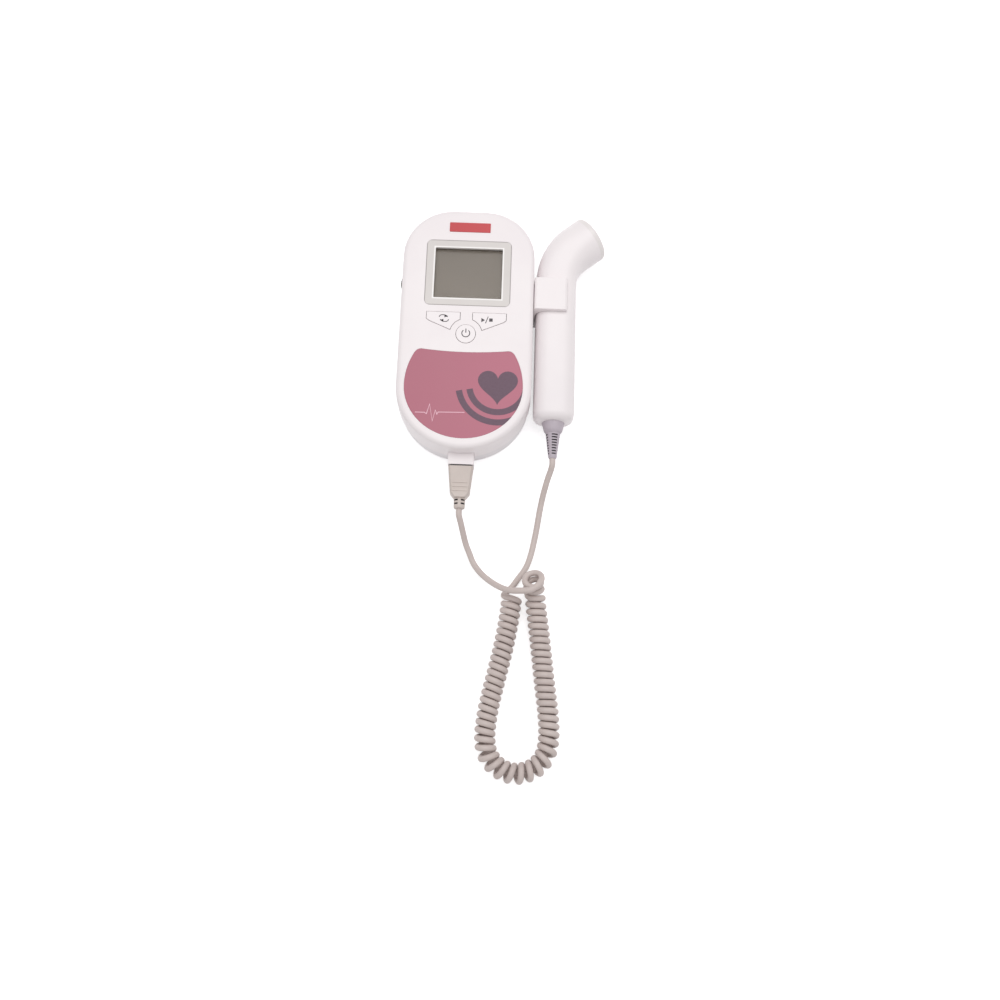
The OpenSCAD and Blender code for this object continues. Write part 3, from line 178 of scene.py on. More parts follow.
# %% Join the leads to the curls and measure the whole line
LEAD_STEPS, JOIN_STEPS = 60, 9
ENTRY_REACH, EXIT_REACH = 15, 12
into_coil = np.array(COIL_ENTRY) + STRAIGHT * unit(ENTRY_DIR)
out_of_coil = np.array(COIL_EXIT) - STRAIGHT * unit(EXIT_DIR)
first_way, last_way = curl_line[1] - curl_line[0], curl_line[-1] - curl_line[-2]
probe_lead = smooth_through([BOOT_END] + LEAD_PROBE + [COIL_ENTRY], [0, -1, 0], ENTRY_DIR,
    LEAD_STEPS)
unit_lead = smooth_through([COIL_EXIT] + LEAD_UNIT[::-1] + [PLUG_EXIT], EXIT_DIR, [0, 1, 0],
    LEAD_STEPS)
cord_line = probe_lead + [into_coil]
cord_line += [join(into_coil, ENTRY_DIR, curl_line[0], first_way, ENTRY_REACH, k / JOIN_STEPS)
    for k in range(1, JOIN_STEPS)]
cord_line += curl_line
cord_line += [join(curl_line[-1], last_way, out_of_coil, EXIT_DIR, EXIT_REACH, k / JOIN_STEPS)
    for k in range(1, JOIN_STEPS)]
cord_line += [out_of_coil] + unit_lead
cord_line = np.array(cord_line) * MM

# %% [markdown]
# ### From a line to a tube
# Each point of the line gets a ring of sides. The ring's first direction is carried along from
# ring to ring and only set square again, which keeps the tube from twisting. The faces get UV
# coordinates that run along the cord, so that its finish can follow it.


# %% Sweep a tube
UV_PER_METRE = 100


def sweep(name, line, diameter, sides):
    """A closed tube along the line, whose UV map runs round it and along it."""
    count = len(line)
    ways = [unit(line[min(i + 1, count - 1)] - line[max(i - 1, 0)]) for i in range(count)]
    normal = unit(np.cross(ways[0], [0.3, 0.2, 1.0]))
    points, travelled = [], [0.0]
    for i in range(count):
        normal = unit(normal - normal.dot(ways[i]) * ways[i])
        side = np.cross(ways[i], normal)
        for j in range(sides):
            t = 2 * math.pi * j / sides
            points.append(line[i] + diameter / 2 * (math.cos(t) * normal + math.sin(t) * side))
        if i:
            travelled.append(travelled[-1] + np.linalg.norm(line[i] - line[i - 1]))
    faces, corners = [], []
    for i in range(count - 1):
        for j in range(sides):
            k = (j + 1) % sides
            here, ahead = i * sides, (i + 1) * sides
            faces.append((here + k, ahead + k, ahead + j, here + j))
            corners.append(((j + 1, i), (j + 1, i + 1), (j, i + 1), (j, i)))
    faces.append(tuple(range(sides)))
    corners.append(tuple((0, 0) for _ in range(sides)))
    faces.append(tuple((count - 1) * sides + j for j in reversed(range(sides))))
    corners.append(tuple((0, count - 1) for _ in range(sides)))
    mesh = bpy.data.meshes.new(name)
    mesh.from_pydata([tuple(p) for p in points], [], faces)
    layer = mesh.uv_layers.new(name="UVMap")
    place = 0
    for face in corners:
        for j, i in face:
            layer.data[place].uv = (j / sides * diameter * math.pi * UV_PER_METRE,
                travelled[i] * UV_PER_METRE)
            place += 1
    for face in mesh.polygons:
        face.use_smooth = len(face.vertices) == 4
    mesh.validate()
    piece = bpy.data.objects.new(name, mesh)
    bpy.context.scene.collection.objects.link(piece)
    return piece


CORD_SIDES = 14
cord = sweep("cord_tube", cord_line, CORD_D * MM, CORD_SIDES)
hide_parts("lead_unit", "cord_coil", "lead_probe")
print("cord faces:", len(cord.data.polygons))

# %% [markdown]
# ### Where the probe's lead would bend
# The probe lifts out sideways, and the cord has to stay on it. Here only the span where the probe's
# own lead would bend is worked out: it starts on the table near the coil and reaches 27 mm along a
# direction that leans to the right, so that the other lead and the coil lie before its start.

# %% Work out where the blend would run, and bake the cord's placement into its points
BLEND_REACH = 27 * MM
lean = unit([0.894, 0.447, 0])
blend_start = np.array([40.0, -114.0, 0.0]) * MM
blend_end = blend_start + lean * BLEND_REACH
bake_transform(cord)
print("blend from", blend_start.round(3), "to", blend_end.round(3))

# %% Sizes of the display and its frame, in millimetres
SCREEN_W, SCREEN_H, SCREEN_Y = 36.4, 29.4, 30.5
FRAME_W, FRAME_H, FRAME_T, FRAME_Z = 45.8, 38.1, 1.4, 27.6
SCREEN_R, FRAME_R = 0.4, 3
SLOPE_W, ROUND_W = 0.75, 0.3

# %% [markdown]
# ## Writing finishes as sums
# A finish is a small graph of nodes. To keep it readable, a number socket is wrapped in a class
# that knows plus, minus, times and divided by: `1 - mask * 0.2` adds the nodes by itself. Any
# other node comes from one method, which takes its type, its settings and its inputs.


# %% Helpers for the finishes
class Number:
    def __init__(self, finish, socket):
        self.finish, self.socket = finish, socket

    def __add__(self, other):
        return self.finish.math("ADD", self, other)

    def __sub__(self, other):
        return self.finish.math("SUBTRACT", self, other)

    def __rsub__(self, other):
        return self.finish.math("SUBTRACT", other, self)

    def __mul__(self, other):
        return self.finish.math("MULTIPLY", self, other)

    def __truediv__(self, other):
        return self.finish.math("DIVIDE", self, other)

    def __pow__(self, other):
        return self.finish.math("POWER", self, other)

    __radd__, __rmul__ = __add__, __mul__


class Finish:
    """A material with a Principled shader, and short ways to add nodes to it."""

    def __init__(self, name, **constants):
        self.material = bpy.data.materials.new(name)
        self.material.use_nodes = True
        self.tree = self.material.node_tree
        self.shader = self.tree.nodes["Principled BSDF"]
        for key, value in constants.items():
            self.shader.inputs[key.replace("_", " ")].default_value = value

    def put(self, socket, value):
        if isinstance(value, Number):
            value = value.socket
        if isinstance(value, bpy.types.NodeSocket):
            self.tree.links.new(value, socket)
        else:
            socket.default_value = value

    def node(self, kind, settings=None, **inputs):
        made = self.tree.nodes.new("ShaderNode" + kind)
        for key, value in (settings or {}).items():
            setattr(made, key, value)
        for key, value in inputs.items():
            self.put(made.inputs[key.replace("_", " ")], value)
        return made

    def math(self, operation, a, b=0.0):
        made = self.tree.nodes.new("ShaderNodeMath")
        made.operation = operation
        self.put(made.inputs[0], a)
        self.put(made.inputs[1], b)
        return Number(self, made.outputs[0])

    def step(self, value, low, high):
        """0 below low, 1 above high and smooth between them."""
        made = self.node("MapRange", {"interpolation_type": "SMOOTHSTEP"}, Value=value,
            From_Min=low, From_Max=high)
        return Number(self, made.outputs["Result"])

    def place(self):
        """The point's own coordinates on the piece, which stay with it as it moves."""
        return self.node("TexCoord").outputs["Object"]

    def xyz(self, vector):
        """The three coordinates of a vector, each as a number."""
        split = self.node("SeparateXYZ", Vector=vector)
        return [Number(self, split.outputs[axis]) for axis in "XYZ"]

    def stretched(self, vector, scale):
        return self.node("Mapping", Vector=vector, Scale=scale).outputs[0]

    def noise(self, vector, scale, detail=2.0, rough=0.5):
        made = self.node("TexNoise", Vector=vector, Scale=scale, Detail=detail, Roughness=rough)
        return Number(self, made.outputs["Fac"])

    def cells(self, vector, scale):
        made = self.node("TexVoronoi", Vector=vector, Scale=scale)
        return Number(self, made.outputs["Distance"])

    def mix(self, amount, a, b):
        """One colour turning into another."""
        made = self.tree.nodes.new("ShaderNodeMix")
        made.data_type = "RGBA"
        self.put(made.inputs["Factor"], amount)
        self.put(made.inputs[6], a)
        self.put(made.inputs[7], b)
        return made.outputs[2]

    def set(self, name, value):
        self.put(self.shader.inputs[name], value)

    def bump(self, height, strength, distance):
        made = self.node("Bump", Height=height, Strength=strength, Distance=distance)
        self.set("Normal", made.outputs["Normal"])


def srgb(r, g, b):
    """A colour as read from the picture, 0 to 255, turned into the linear light that nodes use."""
    line = [c / 255 / 12.92 if c / 255 <= 0.04045 else ((c / 255 + 0.055) / 1.055) ** 2.4
            for c in (r, g, b)]
    return (*line, 1.0)


# %% [markdown]
# ### Moulded white plastic
# The case is moulded in a warm white. Close up such a moulding has a fine spark-eroded grain,
# a faint cloudiness in its colour, and spots rubbed smoother by hands. Three noises at three
# sizes make these: the smallest feeds the bump, the middle one the gloss and the largest the tone.


# %% Moulded plastics
def moulded(name, colour, shade, rough, grain=0.12):
    """A moulded plastic: colour, its slightly darker shade, gloss and depth of grain."""
    f = Finish(name, IOR=1.5)
    where = f.place()
    cloud = f.noise(where, 28, 3.0, 0.55)
    rubbed = f.noise(where, 160, 4.0, 0.6)
    pits = f.noise(where, 2600, 2.0, 0.6)
    specks = f.step(f.cells(where, 900), 0.06, 0.02)
    f.set("Base Color", f.mix(f.step(cloud, 0.3, 0.75) * 0.7 + specks * 0.15, colour, shade))
    f.set("Roughness", rough + (rubbed - 0.5) * 0.16 + (cloud - 0.5) * 0.08)
    f.bump(pits + rubbed * 0.6, grain, 0.04 * MM)
    return f.material


case_white = moulded("case_white_plastic", srgb(244, 237, 238), srgb(240, 232, 234), 0.4)
rear_white = moulded("rear_white_plastic", srgb(238, 233, 235), srgb(230, 224, 227), 0.46)
probe_white = moulded("probe_white_plastic", srgb(243, 236, 237), srgb(238, 231, 233), 0.36)
key_white = moulded("key_white_plastic", srgb(244, 237, 238), srgb(241, 234, 236), 0.34, 0.08)
face_white = moulded("probe_face_plastic", srgb(236, 230, 229), srgb(227, 220, 219), 0.3, 0.05)
socket_black = moulded("black_plastic", srgb(34, 33, 35), srgb(24, 23, 25), 0.48, 0.2)
wheel_black = moulded("wheel_black_plastic", srgb(30, 29, 31), srgb(44, 43, 45), 0.4, 0.25)
backlight_white = moulded("backlight_white_plastic", srgb(232, 230, 222), srgb(220, 218, 208), 0.5)
chip_black = moulded("chip_black_epoxy", srgb(38, 38, 40), srgb(52, 52, 54), 0.6, 0.3)
print("plastics:", [m.name for m in bpy.data.materials if "plastic" in m.name])

# %% [markdown]
# The frame round the display is a grey moulding with two painted lines on it: a painted highlight
# on its smoother inner edge, and painted shade in the joint round its outer edge. Both follow the
# frame's own outline, so the finish measures how far a point lies from the middle of the display.

# %% Display frame


def frame_finish():
    f = Finish("bezel_grey_plastic", IOR=1.5)
    where = f.place()
    x, y, _ = f.xyz(where)
    side = f.math("ABSOLUTE", x)
    end = f.math("ABSOLUTE", y - SCREEN_Y * MM)
    inner = f.math("MAXIMUM", side - SCREEN_W / 2 * MM, end - SCREEN_H / 2 * MM)
    outer = f.math("MAXIMUM", side - FRAME_W / 2 * MM, end - FRAME_H / 2 * MM)
    cloud = f.noise(where, 40, 3.0, 0.55)
    pits = f.noise(where, 2600, 2.0, 0.6)
    # Painted highlight: the sloped inner edge round the display is coloured near-white, and is also
    # made smoother.
    polish_and_highlight = f.step(inner, (SLOPE_W + 0.1) * MM, (SLOPE_W - 0.05) * MM)
    # Painted shade: the joint round the frame's outer edge is coloured dark grey, and is also made
    # rougher.
    dust_and_shade = f.step(outer, -0.5 * MM, -0.1 * MM)
    base = f.mix(f.step(cloud, 0.3, 0.75) * 0.7, srgb(217, 211, 208), srgb(211, 205, 202))
    # The near-white here is the painted highlight of the inner slope.
    base = f.mix(polish_and_highlight, base, srgb(244, 240, 238))
    # The dark grey here is the painted shade of the outer joint.
    f.set("Base Color", f.mix(dust_and_shade * 0.75, base, srgb(150, 143, 141)))
    f.set("Roughness", 0.36 + (cloud - 0.5) * 0.1 - polish_and_highlight * 0.14 + dust_and_shade * 0.2)
    f.bump(pits * (1 - polish_and_highlight), 0.1, 0.04 * MM)
    return f.material


bezel_grey = frame_finish()

# %% [markdown]
# ### Cord, label, display and metals
# The cord is a soft moulded rubber with fine lines along it, left by the die that it was drawn
# through, so its pattern reads the UV map. The label is a printed film with a satin face. The
# display is switched off: a grey sheet with a very fine grid of dots. Metals get the fine scratches
# of turning and rolling.


# %% Rubber of the cord and its fittings
def rubber(name, colour, shade, follows_cord=False, painted_slot_shade=None):
    """Soft rubber. The slot mask, if given, marks a fitting's slots, which get painted shade."""
    f = Finish(name, IOR=1.48)
    where = f.place()
    if follows_cord:
        uv = f.node("UVMap", {"uv_map": "UVMap"}).outputs["UV"]
        lines = f.noise(f.stretched(uv, (40, 0.5, 1)), 1.0, 3.0, 0.6)
    else:
        lines = f.noise(where, 700, 3.0, 0.6)
    cloud = f.noise(where, 60, 3.0, 0.6)
    dust_and_shade = f.noise(where, 1500, 2.0, 0.7)
    base = f.mix(f.step(cloud, 0.3, 0.72) * 0.6 + lines * 0.3, colour, shade)
    if painted_slot_shade:
        # Painted shade: a fitting's slots are coloured nearly black, the shade that falls in them.
        base = f.mix(painted_slot_shade(f, where) * 0.93, base, srgb(38, 32, 38))
    f.set("Base Color", base)
    f.set("Roughness", 0.5 + (lines - 0.5) * 0.12 + (dust_and_shade - 0.5) * 0.1)
    f.bump(lines * 0.7 + dust_and_shade * 0.4, 0.12, 0.05 * MM)
    return f.material


# The mask below marks the slots of a strain relief that get painted shade.
def inside_of_relief(axis_x, axis_z, near_y, far_y, near_r, far_r):
    """1 where a point lies deeper than a tapered strain relief's skin, all in millimetres."""
    def mask(f, where):
        x, y, z = (c / MM for c in f.xyz(where))
        radius = ((x - axis_x) ** 2 + (z - axis_z) ** 2) ** 0.5
        share = (near_y - y) / (near_y - far_y)
        skin = near_r + share * (far_r - near_r)
        between = f.step(y, near_y, near_y - 0.2) * f.step(y, far_y, far_y + 0.2)
        return f.step(radius - skin, -0.1, -0.3) * between
    return mask


cord_rubber = rubber("cord_rubber", srgb(208, 195, 190), srgb(197, 183, 179), True)
# The slot masks below paint shade into the slots of the plug's and the boot's strain reliefs.
plug_rubber = rubber("plug_rubber", srgb(210, 198, 191), srgb(199, 187, 181),
    painted_slot_shade=inside_of_relief(0, 14, -91.2, -96.2, 3.0, 2.95))
boot_rubber = rubber("boot_rubber", srgb(192, 182, 190), srgb(180, 169, 179),
    painted_slot_shade=inside_of_relief(48.1, 15, -54.3, -67.3, 3.8, 2.3))

# %% Label film, badge film and printing ink


def film(name, colour, shade, rough=0.38):
    """A printed plastic film: satin face, a faint screen of printing dots and painted shade to its
    left.
    """
    f = Finish(name, IOR=1.5)
    where = f.place()
    across = f.xyz(where)[0]
    cloud = f.noise(where, 35, 2.0, 0.5)
    dots = f.cells(where, 2400)
    # Painted shade: the film darkens gradually towards its left side, across its whole width.
    f.set("Base Color", f.mix(f.step(across + (cloud - 0.5) * 0.03, 0.03, -0.03), colour, shade))
    f.set("Roughness", rough + (cloud - 0.5) * 0.1)
    f.bump(dots, 0.05, 0.02 * MM)
    return f.material


label_pink = film("label_pink_film", srgb(181, 101, 121), srgb(174, 98, 116))
badge_red = film("badge_red_film", srgb(197, 55, 61), srgb(188, 46, 53), 0.34)


def ink(name, colour, shade):
    """Printed ink: slightly uneven in tone and a little raised."""
    f = Finish(name, IOR=1.45)
    where = f.place()
    patchy = f.noise(where, 900, 3.0, 0.6)
    f.set("Base Color", f.mix(f.step(patchy, 0.35, 0.7) * 0.5, colour, shade))
    f.set("Roughness", 0.5 + (patchy - 0.5) * 0.2)
    f.bump(patchy, 0.1, 0.02 * MM)
    return f.material


grey_ink = ink("grey_ink", srgb(74, 68, 72), srgb(90, 84, 88))
plum_ink = ink("plum_ink", srgb(103, 78, 94), srgb(98, 74, 88))
rose_ink = ink("rose_ink", srgb(236, 190, 203), srgb(226, 178, 192))

# %% Display


def lcd_sheet():
    """A reflective display that is off: grey with a dot grid, and painted shade towards its head
    end.
    """
    f = Finish("lcd_grey", IOR=1.5)
    where = f.place()
    x, y, _ = f.xyz(where)
    lines = [f.step(f.math("PINGPONG", c, 0.14 * MM), 0.10 * MM, 0.13 * MM) for c in (x, y)]
    grid = f.math("MAXIMUM", *lines)
    # Painted shade: the display darkens towards its head end, from y = 12 mm to y = 46 mm.
    painted_shade_ramp = f.step(y, 46 * MM, 12 * MM)
    cloud = f.noise(where, 70, 2.0, 0.5)
    base = f.mix(painted_shade_ramp, srgb(108, 99, 89), srgb(119, 110, 99))
    base = f.mix(f.step(cloud, 0.35, 0.7) * 0.25, base, srgb(113, 105, 97))
    f.set("Base Color", f.mix(grid * 0.12, base, srgb(97, 90, 82)))
    f.set("Roughness", 0.34 + (cloud - 0.5) * 0.1)
    f.bump(grid, 0.03, 0.01 * MM)
    return f.material


def clear_sheet():
    """The clear window: mostly see-through, with a smooth face that shows soft reflections."""
    f = Finish("clear_window", IOR=1.49, Alpha=0.06)
    where = f.place()
    smear = f.noise(where, 90, 3.0, 0.6)
    f.set("Base Color", f.mix(smear, srgb(200, 190, 178), srgb(190, 180, 168)))
    f.set("Roughness", 0.06 + f.step(smear, 0.5, 0.8) * 0.08)
    return f.material


display_grey = lcd_sheet()
window_clear = clear_sheet()

# %% Metals, board and cell wrap


def metal(name, colour, shade, rough, lines=(1, 1, 1)):
    """A worked metal: fine scratches drawn out along one direction."""
    f = Finish(name, Metallic=1.0)
    where = f.place()
    scratch = f.noise(f.stretched(where, lines), 1800, 4.0, 0.65)
    cloud = f.noise(where, 120, 3.0, 0.5)
    f.set("Base Color", f.mix(scratch * 0.6 + cloud * 0.3, colour, shade))
    f.set("Roughness", rough + (scratch - 0.5) * 0.2)
    f.bump(scratch, 0.1, 0.02 * MM)
    return f.material


screw_steel = metal("screw_steel", srgb(200, 201, 204), srgb(168, 169, 173), 0.3, (1, 1, 0.2))
spring_steel = metal("spring_steel", srgb(205, 205, 203), srgb(176, 176, 172), 0.26, (0.3, 1, 1))
contact_gold = metal("contact_gold", srgb(222, 184, 110), srgb(200, 160, 84), 0.3, (1, 0.2, 1))
crystal_silver = metal("crystal_silver", srgb(214, 212, 206), srgb(188, 186, 178), 0.42)
speaker_steel = metal("speaker_steel", srgb(120, 121, 124), srgb(96, 97, 100), 0.4)


def board_finish():
    """Green solder mask over copper tracks, which show as slightly raised, paler lines."""
    f = Finish("board_green", IOR=1.52)
    where = f.place()
    bricks = f.node("TexBrick", {"offset": 0.37, "squash": 0.7}, Vector=where, Scale=260,
        Mortar_Size=0.06, Brick_Width=0.9, Row_Height=0.24)
    track = Number(f, bricks.outputs["Fac"])
    vias = f.step(f.cells(where, 320), 0.1, 0.06)
    f.set("Base Color", f.mix(track * 0.45 + vias * 0.5, srgb(18, 92, 52), srgb(66, 146, 88)))
    f.set("Roughness", 0.32 + f.noise(where, 400, 2.0) * 0.12)
    f.bump(track, 0.2, 0.03 * MM)
    return f.material


def wrap_finish():
    """A cell's shrink wrap: plain copper tone with a darker band at the flat end."""
    f = Finish("cell_wrap", Metallic=0.55, IOR=1.5)
    where = f.place()
    y = f.xyz(where)[1]
    band = f.step(f.math("ABSOLUTE", y + 25.5 * MM), 12 * MM, 12.2 * MM)
    streak = f.noise(f.stretched(where, (1, 0.1, 1)), 900, 3.0)
    f.set("Base Color", f.mix(band, srgb(58, 56, 60), srgb(188, 140, 74)))
    f.set("Roughness", 0.28 + (streak - 0.5) * 0.14)
    f.bump(streak, 0.05, 0.02 * MM)
    return f.material


board_green = board_finish()
cell_wrap = wrap_finish()
print("finishes:", len(bpy.data.materials))

# %% [markdown]
# ## Display frame and gasket
# Two pieces are rings cut from a sheet: the grey frame round the display, whose inner edge slopes
# down to the window, and the thin black gasket that shows between the plug and its socket. Both
# start as two planes. Bevelled corners round them, Bridge joins their outlines to a flat ring, and
# Extrude gives it a thickness. The same helpers make both.

# %% A ring between two rounded rectangles
CORNER_STEPS = 8
NEAR = 0.01
SMOOTH = math.radians(30)


def select_edges(piece, test):
    """In edit mode, selects the edges whose two ends, in millimetres, pass the test."""
    mesh = bmesh.from_edit_mesh(piece.data)
    for item in list(mesh.faces) + list(mesh.edges) + list(mesh.verts):
        item.select = False
    for edge in mesh.edges:
        edge.select_set(all(test(corner.co / MM) for corner in edge.verts))
    bmesh.update_edit_mesh(piece.data)


def flat_ring(name, outer, inner, thick):
    """A ring round the origin. outer and inner are width, height and corner radius in mm."""
    sheets = []
    for width, height, corner in (outer, inner):
        bpy.ops.object.select_all(action="DESELECT")
        bpy.ops.mesh.primitive_plane_add(size=MM)
        sheet = bpy.context.object
        sheet.scale = (width, height, 1)
        bpy.ops.object.transform_apply(location=False, rotation=False, scale=True)
        bpy.ops.object.mode_set(mode="EDIT")
        bpy.ops.mesh.select_all(action="SELECT")
        bpy.ops.mesh.bevel(offset=corner * MM, segments=CORNER_STEPS, affect="VERTICES")
        bpy.ops.mesh.select_all(action="SELECT")
        bpy.ops.mesh.delete(type="ONLY_FACE")
        bpy.ops.object.mode_set(mode="OBJECT")
        sheets.append(sheet)
    sheets[0].select_set(True)
    bpy.ops.object.join()
    ring = bpy.context.object
    ring.name = ring.data.name = name
    bpy.ops.object.mode_set(mode="EDIT")
    bpy.ops.mesh.select_all(action="SELECT")
    bpy.ops.mesh.bridge_edge_loops()
    bpy.ops.mesh.select_all(action="SELECT")
    bpy.ops.mesh.extrude_region_move(TRANSFORM_OT_translate={"value": (0, 0, thick * MM)})
    bpy.ops.mesh.select_all(action="SELECT")
    bpy.ops.mesh.normals_make_consistent(inside=False)
    return ring


def settle(ring, location, turn=0.0):
    """Ends edit mode, moves the ring to its place and smooths all but its sharp edges."""
    bpy.ops.object.mode_set(mode="OBJECT")
    ring.rotation_euler = (turn, 0, 0)
    ring.location = location
    bpy.ops.object.transform_apply(location=True, rotation=True, scale=True)
    bpy.ops.object.shade_smooth_by_angle(angle=SMOOTH)


# %% The display's frame
frame_piece = flat_ring("bezel_frame", (FRAME_W, FRAME_H, FRAME_R), (SCREEN_W, SCREEN_H, SCREEN_R),
    FRAME_T)
PAST_SLOPE = 0.25


def on_top(p):
    return p.z > FRAME_T - NEAR


def within_screen(p, margin):
    return abs(p.x) < SCREEN_W / 2 + margin and abs(p.y) < SCREEN_H / 2 + margin


select_edges(frame_piece, lambda p: on_top(p) and within_screen(p, NEAR))
bpy.ops.mesh.bevel(offset=SLOPE_W * MM, segments=1, affect="EDGES")
select_edges(frame_piece, lambda p: on_top(p) and not within_screen(p, SLOPE_W + PAST_SLOPE))
bpy.ops.mesh.bevel(offset=ROUND_W * MM, segments=3, affect="EDGES")
settle(frame_piece, (0, SCREEN_Y * MM, FRAME_Z * MM))
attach(frame_piece, "main_unit")
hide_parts("display_bezel")
print("frame faces:", len(frame_piece.data.polygons))

# %% The plug's gasket
GASKET_Y, SOCKET_Z, SEAM, SEAM_ROUND = -73.75, 14, 0.5, 0.12
gasket = flat_ring("plug_gasket", (12.2, 9.4, 2), (9.3, 4.9, 0.6), SEAM)
select_edges(gasket, lambda p: p.z > SEAM - NEAR and (abs(p.x) > 5 or abs(p.y) > 3))
bpy.ops.mesh.bevel(offset=SEAM_ROUND * MM, segments=2, affect="EDGES")
settle(gasket, (0, GASKET_Y * MM, SOCKET_Z * MM), math.radians(90))
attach(gasket, "main_unit")
print("gasket from", [round(c, 4) for c in gasket.bound_box[0]], "to",
    [round(c, 4) for c in gasket.bound_box[6]])

# %% [markdown]
# ## Printed marks
# The keys carry the usual signs for power, change of mode, and start and stop, and the label has
# a pulse line and a plum-coloured picture, here a heart with ripples of sound. Ink is a very thin
# layer, so each mark is a plate 0.05 mm high. A filled circle is added with as many corners as the
# mark's outline has, the corners are moved to the outline, and Extrude thickens it. The height
# under each corner is measured on the solid below, so that a mark also follows a curved surface.

# %% Outlines from formulas


def arc(cx, cy, rx, ry, start, end, steps=24, tilt=0.0):
    """Points on an ellipse between two angles in degrees, with its axes turned by tilt."""
    cos_a, sin_a = math.cos(math.radians(tilt)), math.sin(math.radians(tilt))
    points = []
    for i in range(steps + 1):
        t = math.radians(start + (end - start) * i / steps)
        x, y = rx * math.cos(t), ry * math.sin(t)
        points.append((cx + x * cos_a - y * sin_a, cy + x * sin_a + y * cos_a))
    return points


def pen(line, width):
    """The outline of a line drawn with a pen of that width, whose corners stay short."""
    p = [np.array(q, float) for q in line]
    left, right = [], []
    for i, q in enumerate(p):
        came = unit(p[i] - p[i - 1]) if i else unit(p[1] - p[0])
        goes = unit(p[i + 1] - p[i]) if i + 1 < len(p) else came
        square = unit([-(came + goes)[1], (came + goes)[0]])
        reach = width / 2 / max(0.45, square.dot([-came[1], came[0]]))
        left.append(q + reach * square)
        right.append(q - reach * square)
    return left + right[::-1]


def heart(cx, cy, size, steps=48):
    """A plain heart, from the usual formula, which makes it 32 units wide."""
    points = []
    for i in range(steps):
        t = 2 * math.pi * i / steps
        x = 16 * math.sin(t) ** 3
        y = 13 * math.cos(t) - 5 * math.cos(2 * t) - 2 * math.cos(3 * t) - math.cos(4 * t)
        points.append((cx + size * x / 32, cy + size * y / 32))
    return points


# %% A mark's plate
INK_SUNK, INK_HIGH = 0.02, 0.05
RAY_FROM = 0.1


def mark(name, outlines, carrier, body, finish, high=INK_HIGH):
    """Plates of ink on top of the CAD solid that carries them, joined to one piece."""
    plates = []
    for outline in outlines:
        bpy.ops.object.select_all(action="DESELECT")
        bpy.ops.mesh.primitive_circle_add(vertices=len(outline), radius=MM, fill_type="NGON")
        plate = bpy.context.object
        for corner, (x, y) in zip(plate.data.vertices, outline):
            hit, spot, _, _ = nodes[carrier].ray_cast((x * MM, y * MM, RAY_FROM), (0, 0, -1))
            height = spot.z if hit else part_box(carrier)[1][2]
            corner.co = (x * MM, y * MM, height - INK_SUNK * MM)
        bpy.ops.object.mode_set(mode="EDIT")
        bpy.ops.mesh.select_all(action="SELECT")
        bpy.ops.mesh.extrude_region_move(TRANSFORM_OT_translate={"value": (0, 0, high * MM)})
        bpy.ops.mesh.select_all(action="SELECT")
        bpy.ops.mesh.quads_convert_to_tris()
        bpy.ops.mesh.normals_make_consistent(inside=False)
        bpy.ops.object.mode_set(mode="OBJECT")
        plates.append(plate)
    for plate in plates:
        plate.select_set(True)
    if len(plates) > 1:
        bpy.ops.object.join()
    piece = bpy.context.object
    piece.name = piece.data.name = name
    piece.data.materials.append(finish)
    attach(piece, body)
    return piece


bpy.context.view_layer.update()

# %% Signs on the keys
power_ring = arc(0.07, -4.5, 2.1, 2.1, 130, 410)
mark("power_sign", [pen(power_ring, 0.5), pen([(0.07, -1.9), (0.07, -4.2)], 0.5)],
    "power_button", "power_key", grey_ink)
turn_back = arc(-11.9, 3.7, 2.6, 1.75, 55, 195, tilt=-24)
turn_on = arc(-11.9, 3.7, 2.6, 1.75, 235, 375, tilt=-24)
mark("mode_sign", [pen(turn_back, 0.45), pen(turn_on, 0.45),
    [(-11.6, 5.9), (-9.7, 4.9), (-11.7, 4.1)], [(-12.2, 1.5), (-14.1, 2.5), (-12.1, 3.3)]],
    "mode_button", "mode_key", grey_ink)
mark("play_sign", [[(8, 4.5), (10, 3.3), (8.05, 2.05)], pen([(11.65, 5.4), (10.3, 1.5)], 0.42),
    [(12.2, 2.5), (14.05, 2.5), (14.05, 4.35), (12.2, 4.35)]], "play_button", "play_key", grey_ink)

# %% Pulse line and heart on the label
PULSE = [(-24.5, -49.3), (-19.6, -49.3), (-18.5, -50), (-17.1, -44.6), (-15.3, -53.9), (-14, -47.9),
    (-13.1, -50.1), (-12.4, -48.9), (1.2, -48.6)]
mark("pulse_line", [pen(PULSE, 0.42)], "front_label", "main_unit", rose_ink)
HEART, RIPPLE_W = (18, -33), 3.3
ripples = [pen(arc(*HEART, r, r, 190, 350, 36), RIPPLE_W) for r in (14.9, 20.5)]
picture = mark("label_picture", [heart(*HEART, 21)] + ripples, "front_label", "main_unit",
    plum_ink, 0.06)

# %% Trim the picture at the label's edge
WELD = 0.002 * MM


def pick(piece):
    """Makes this object the only selected one, and the active one."""
    bpy.ops.object.select_all(action="DESELECT")
    piece.select_set(True)
    bpy.context.view_layer.objects.active = piece


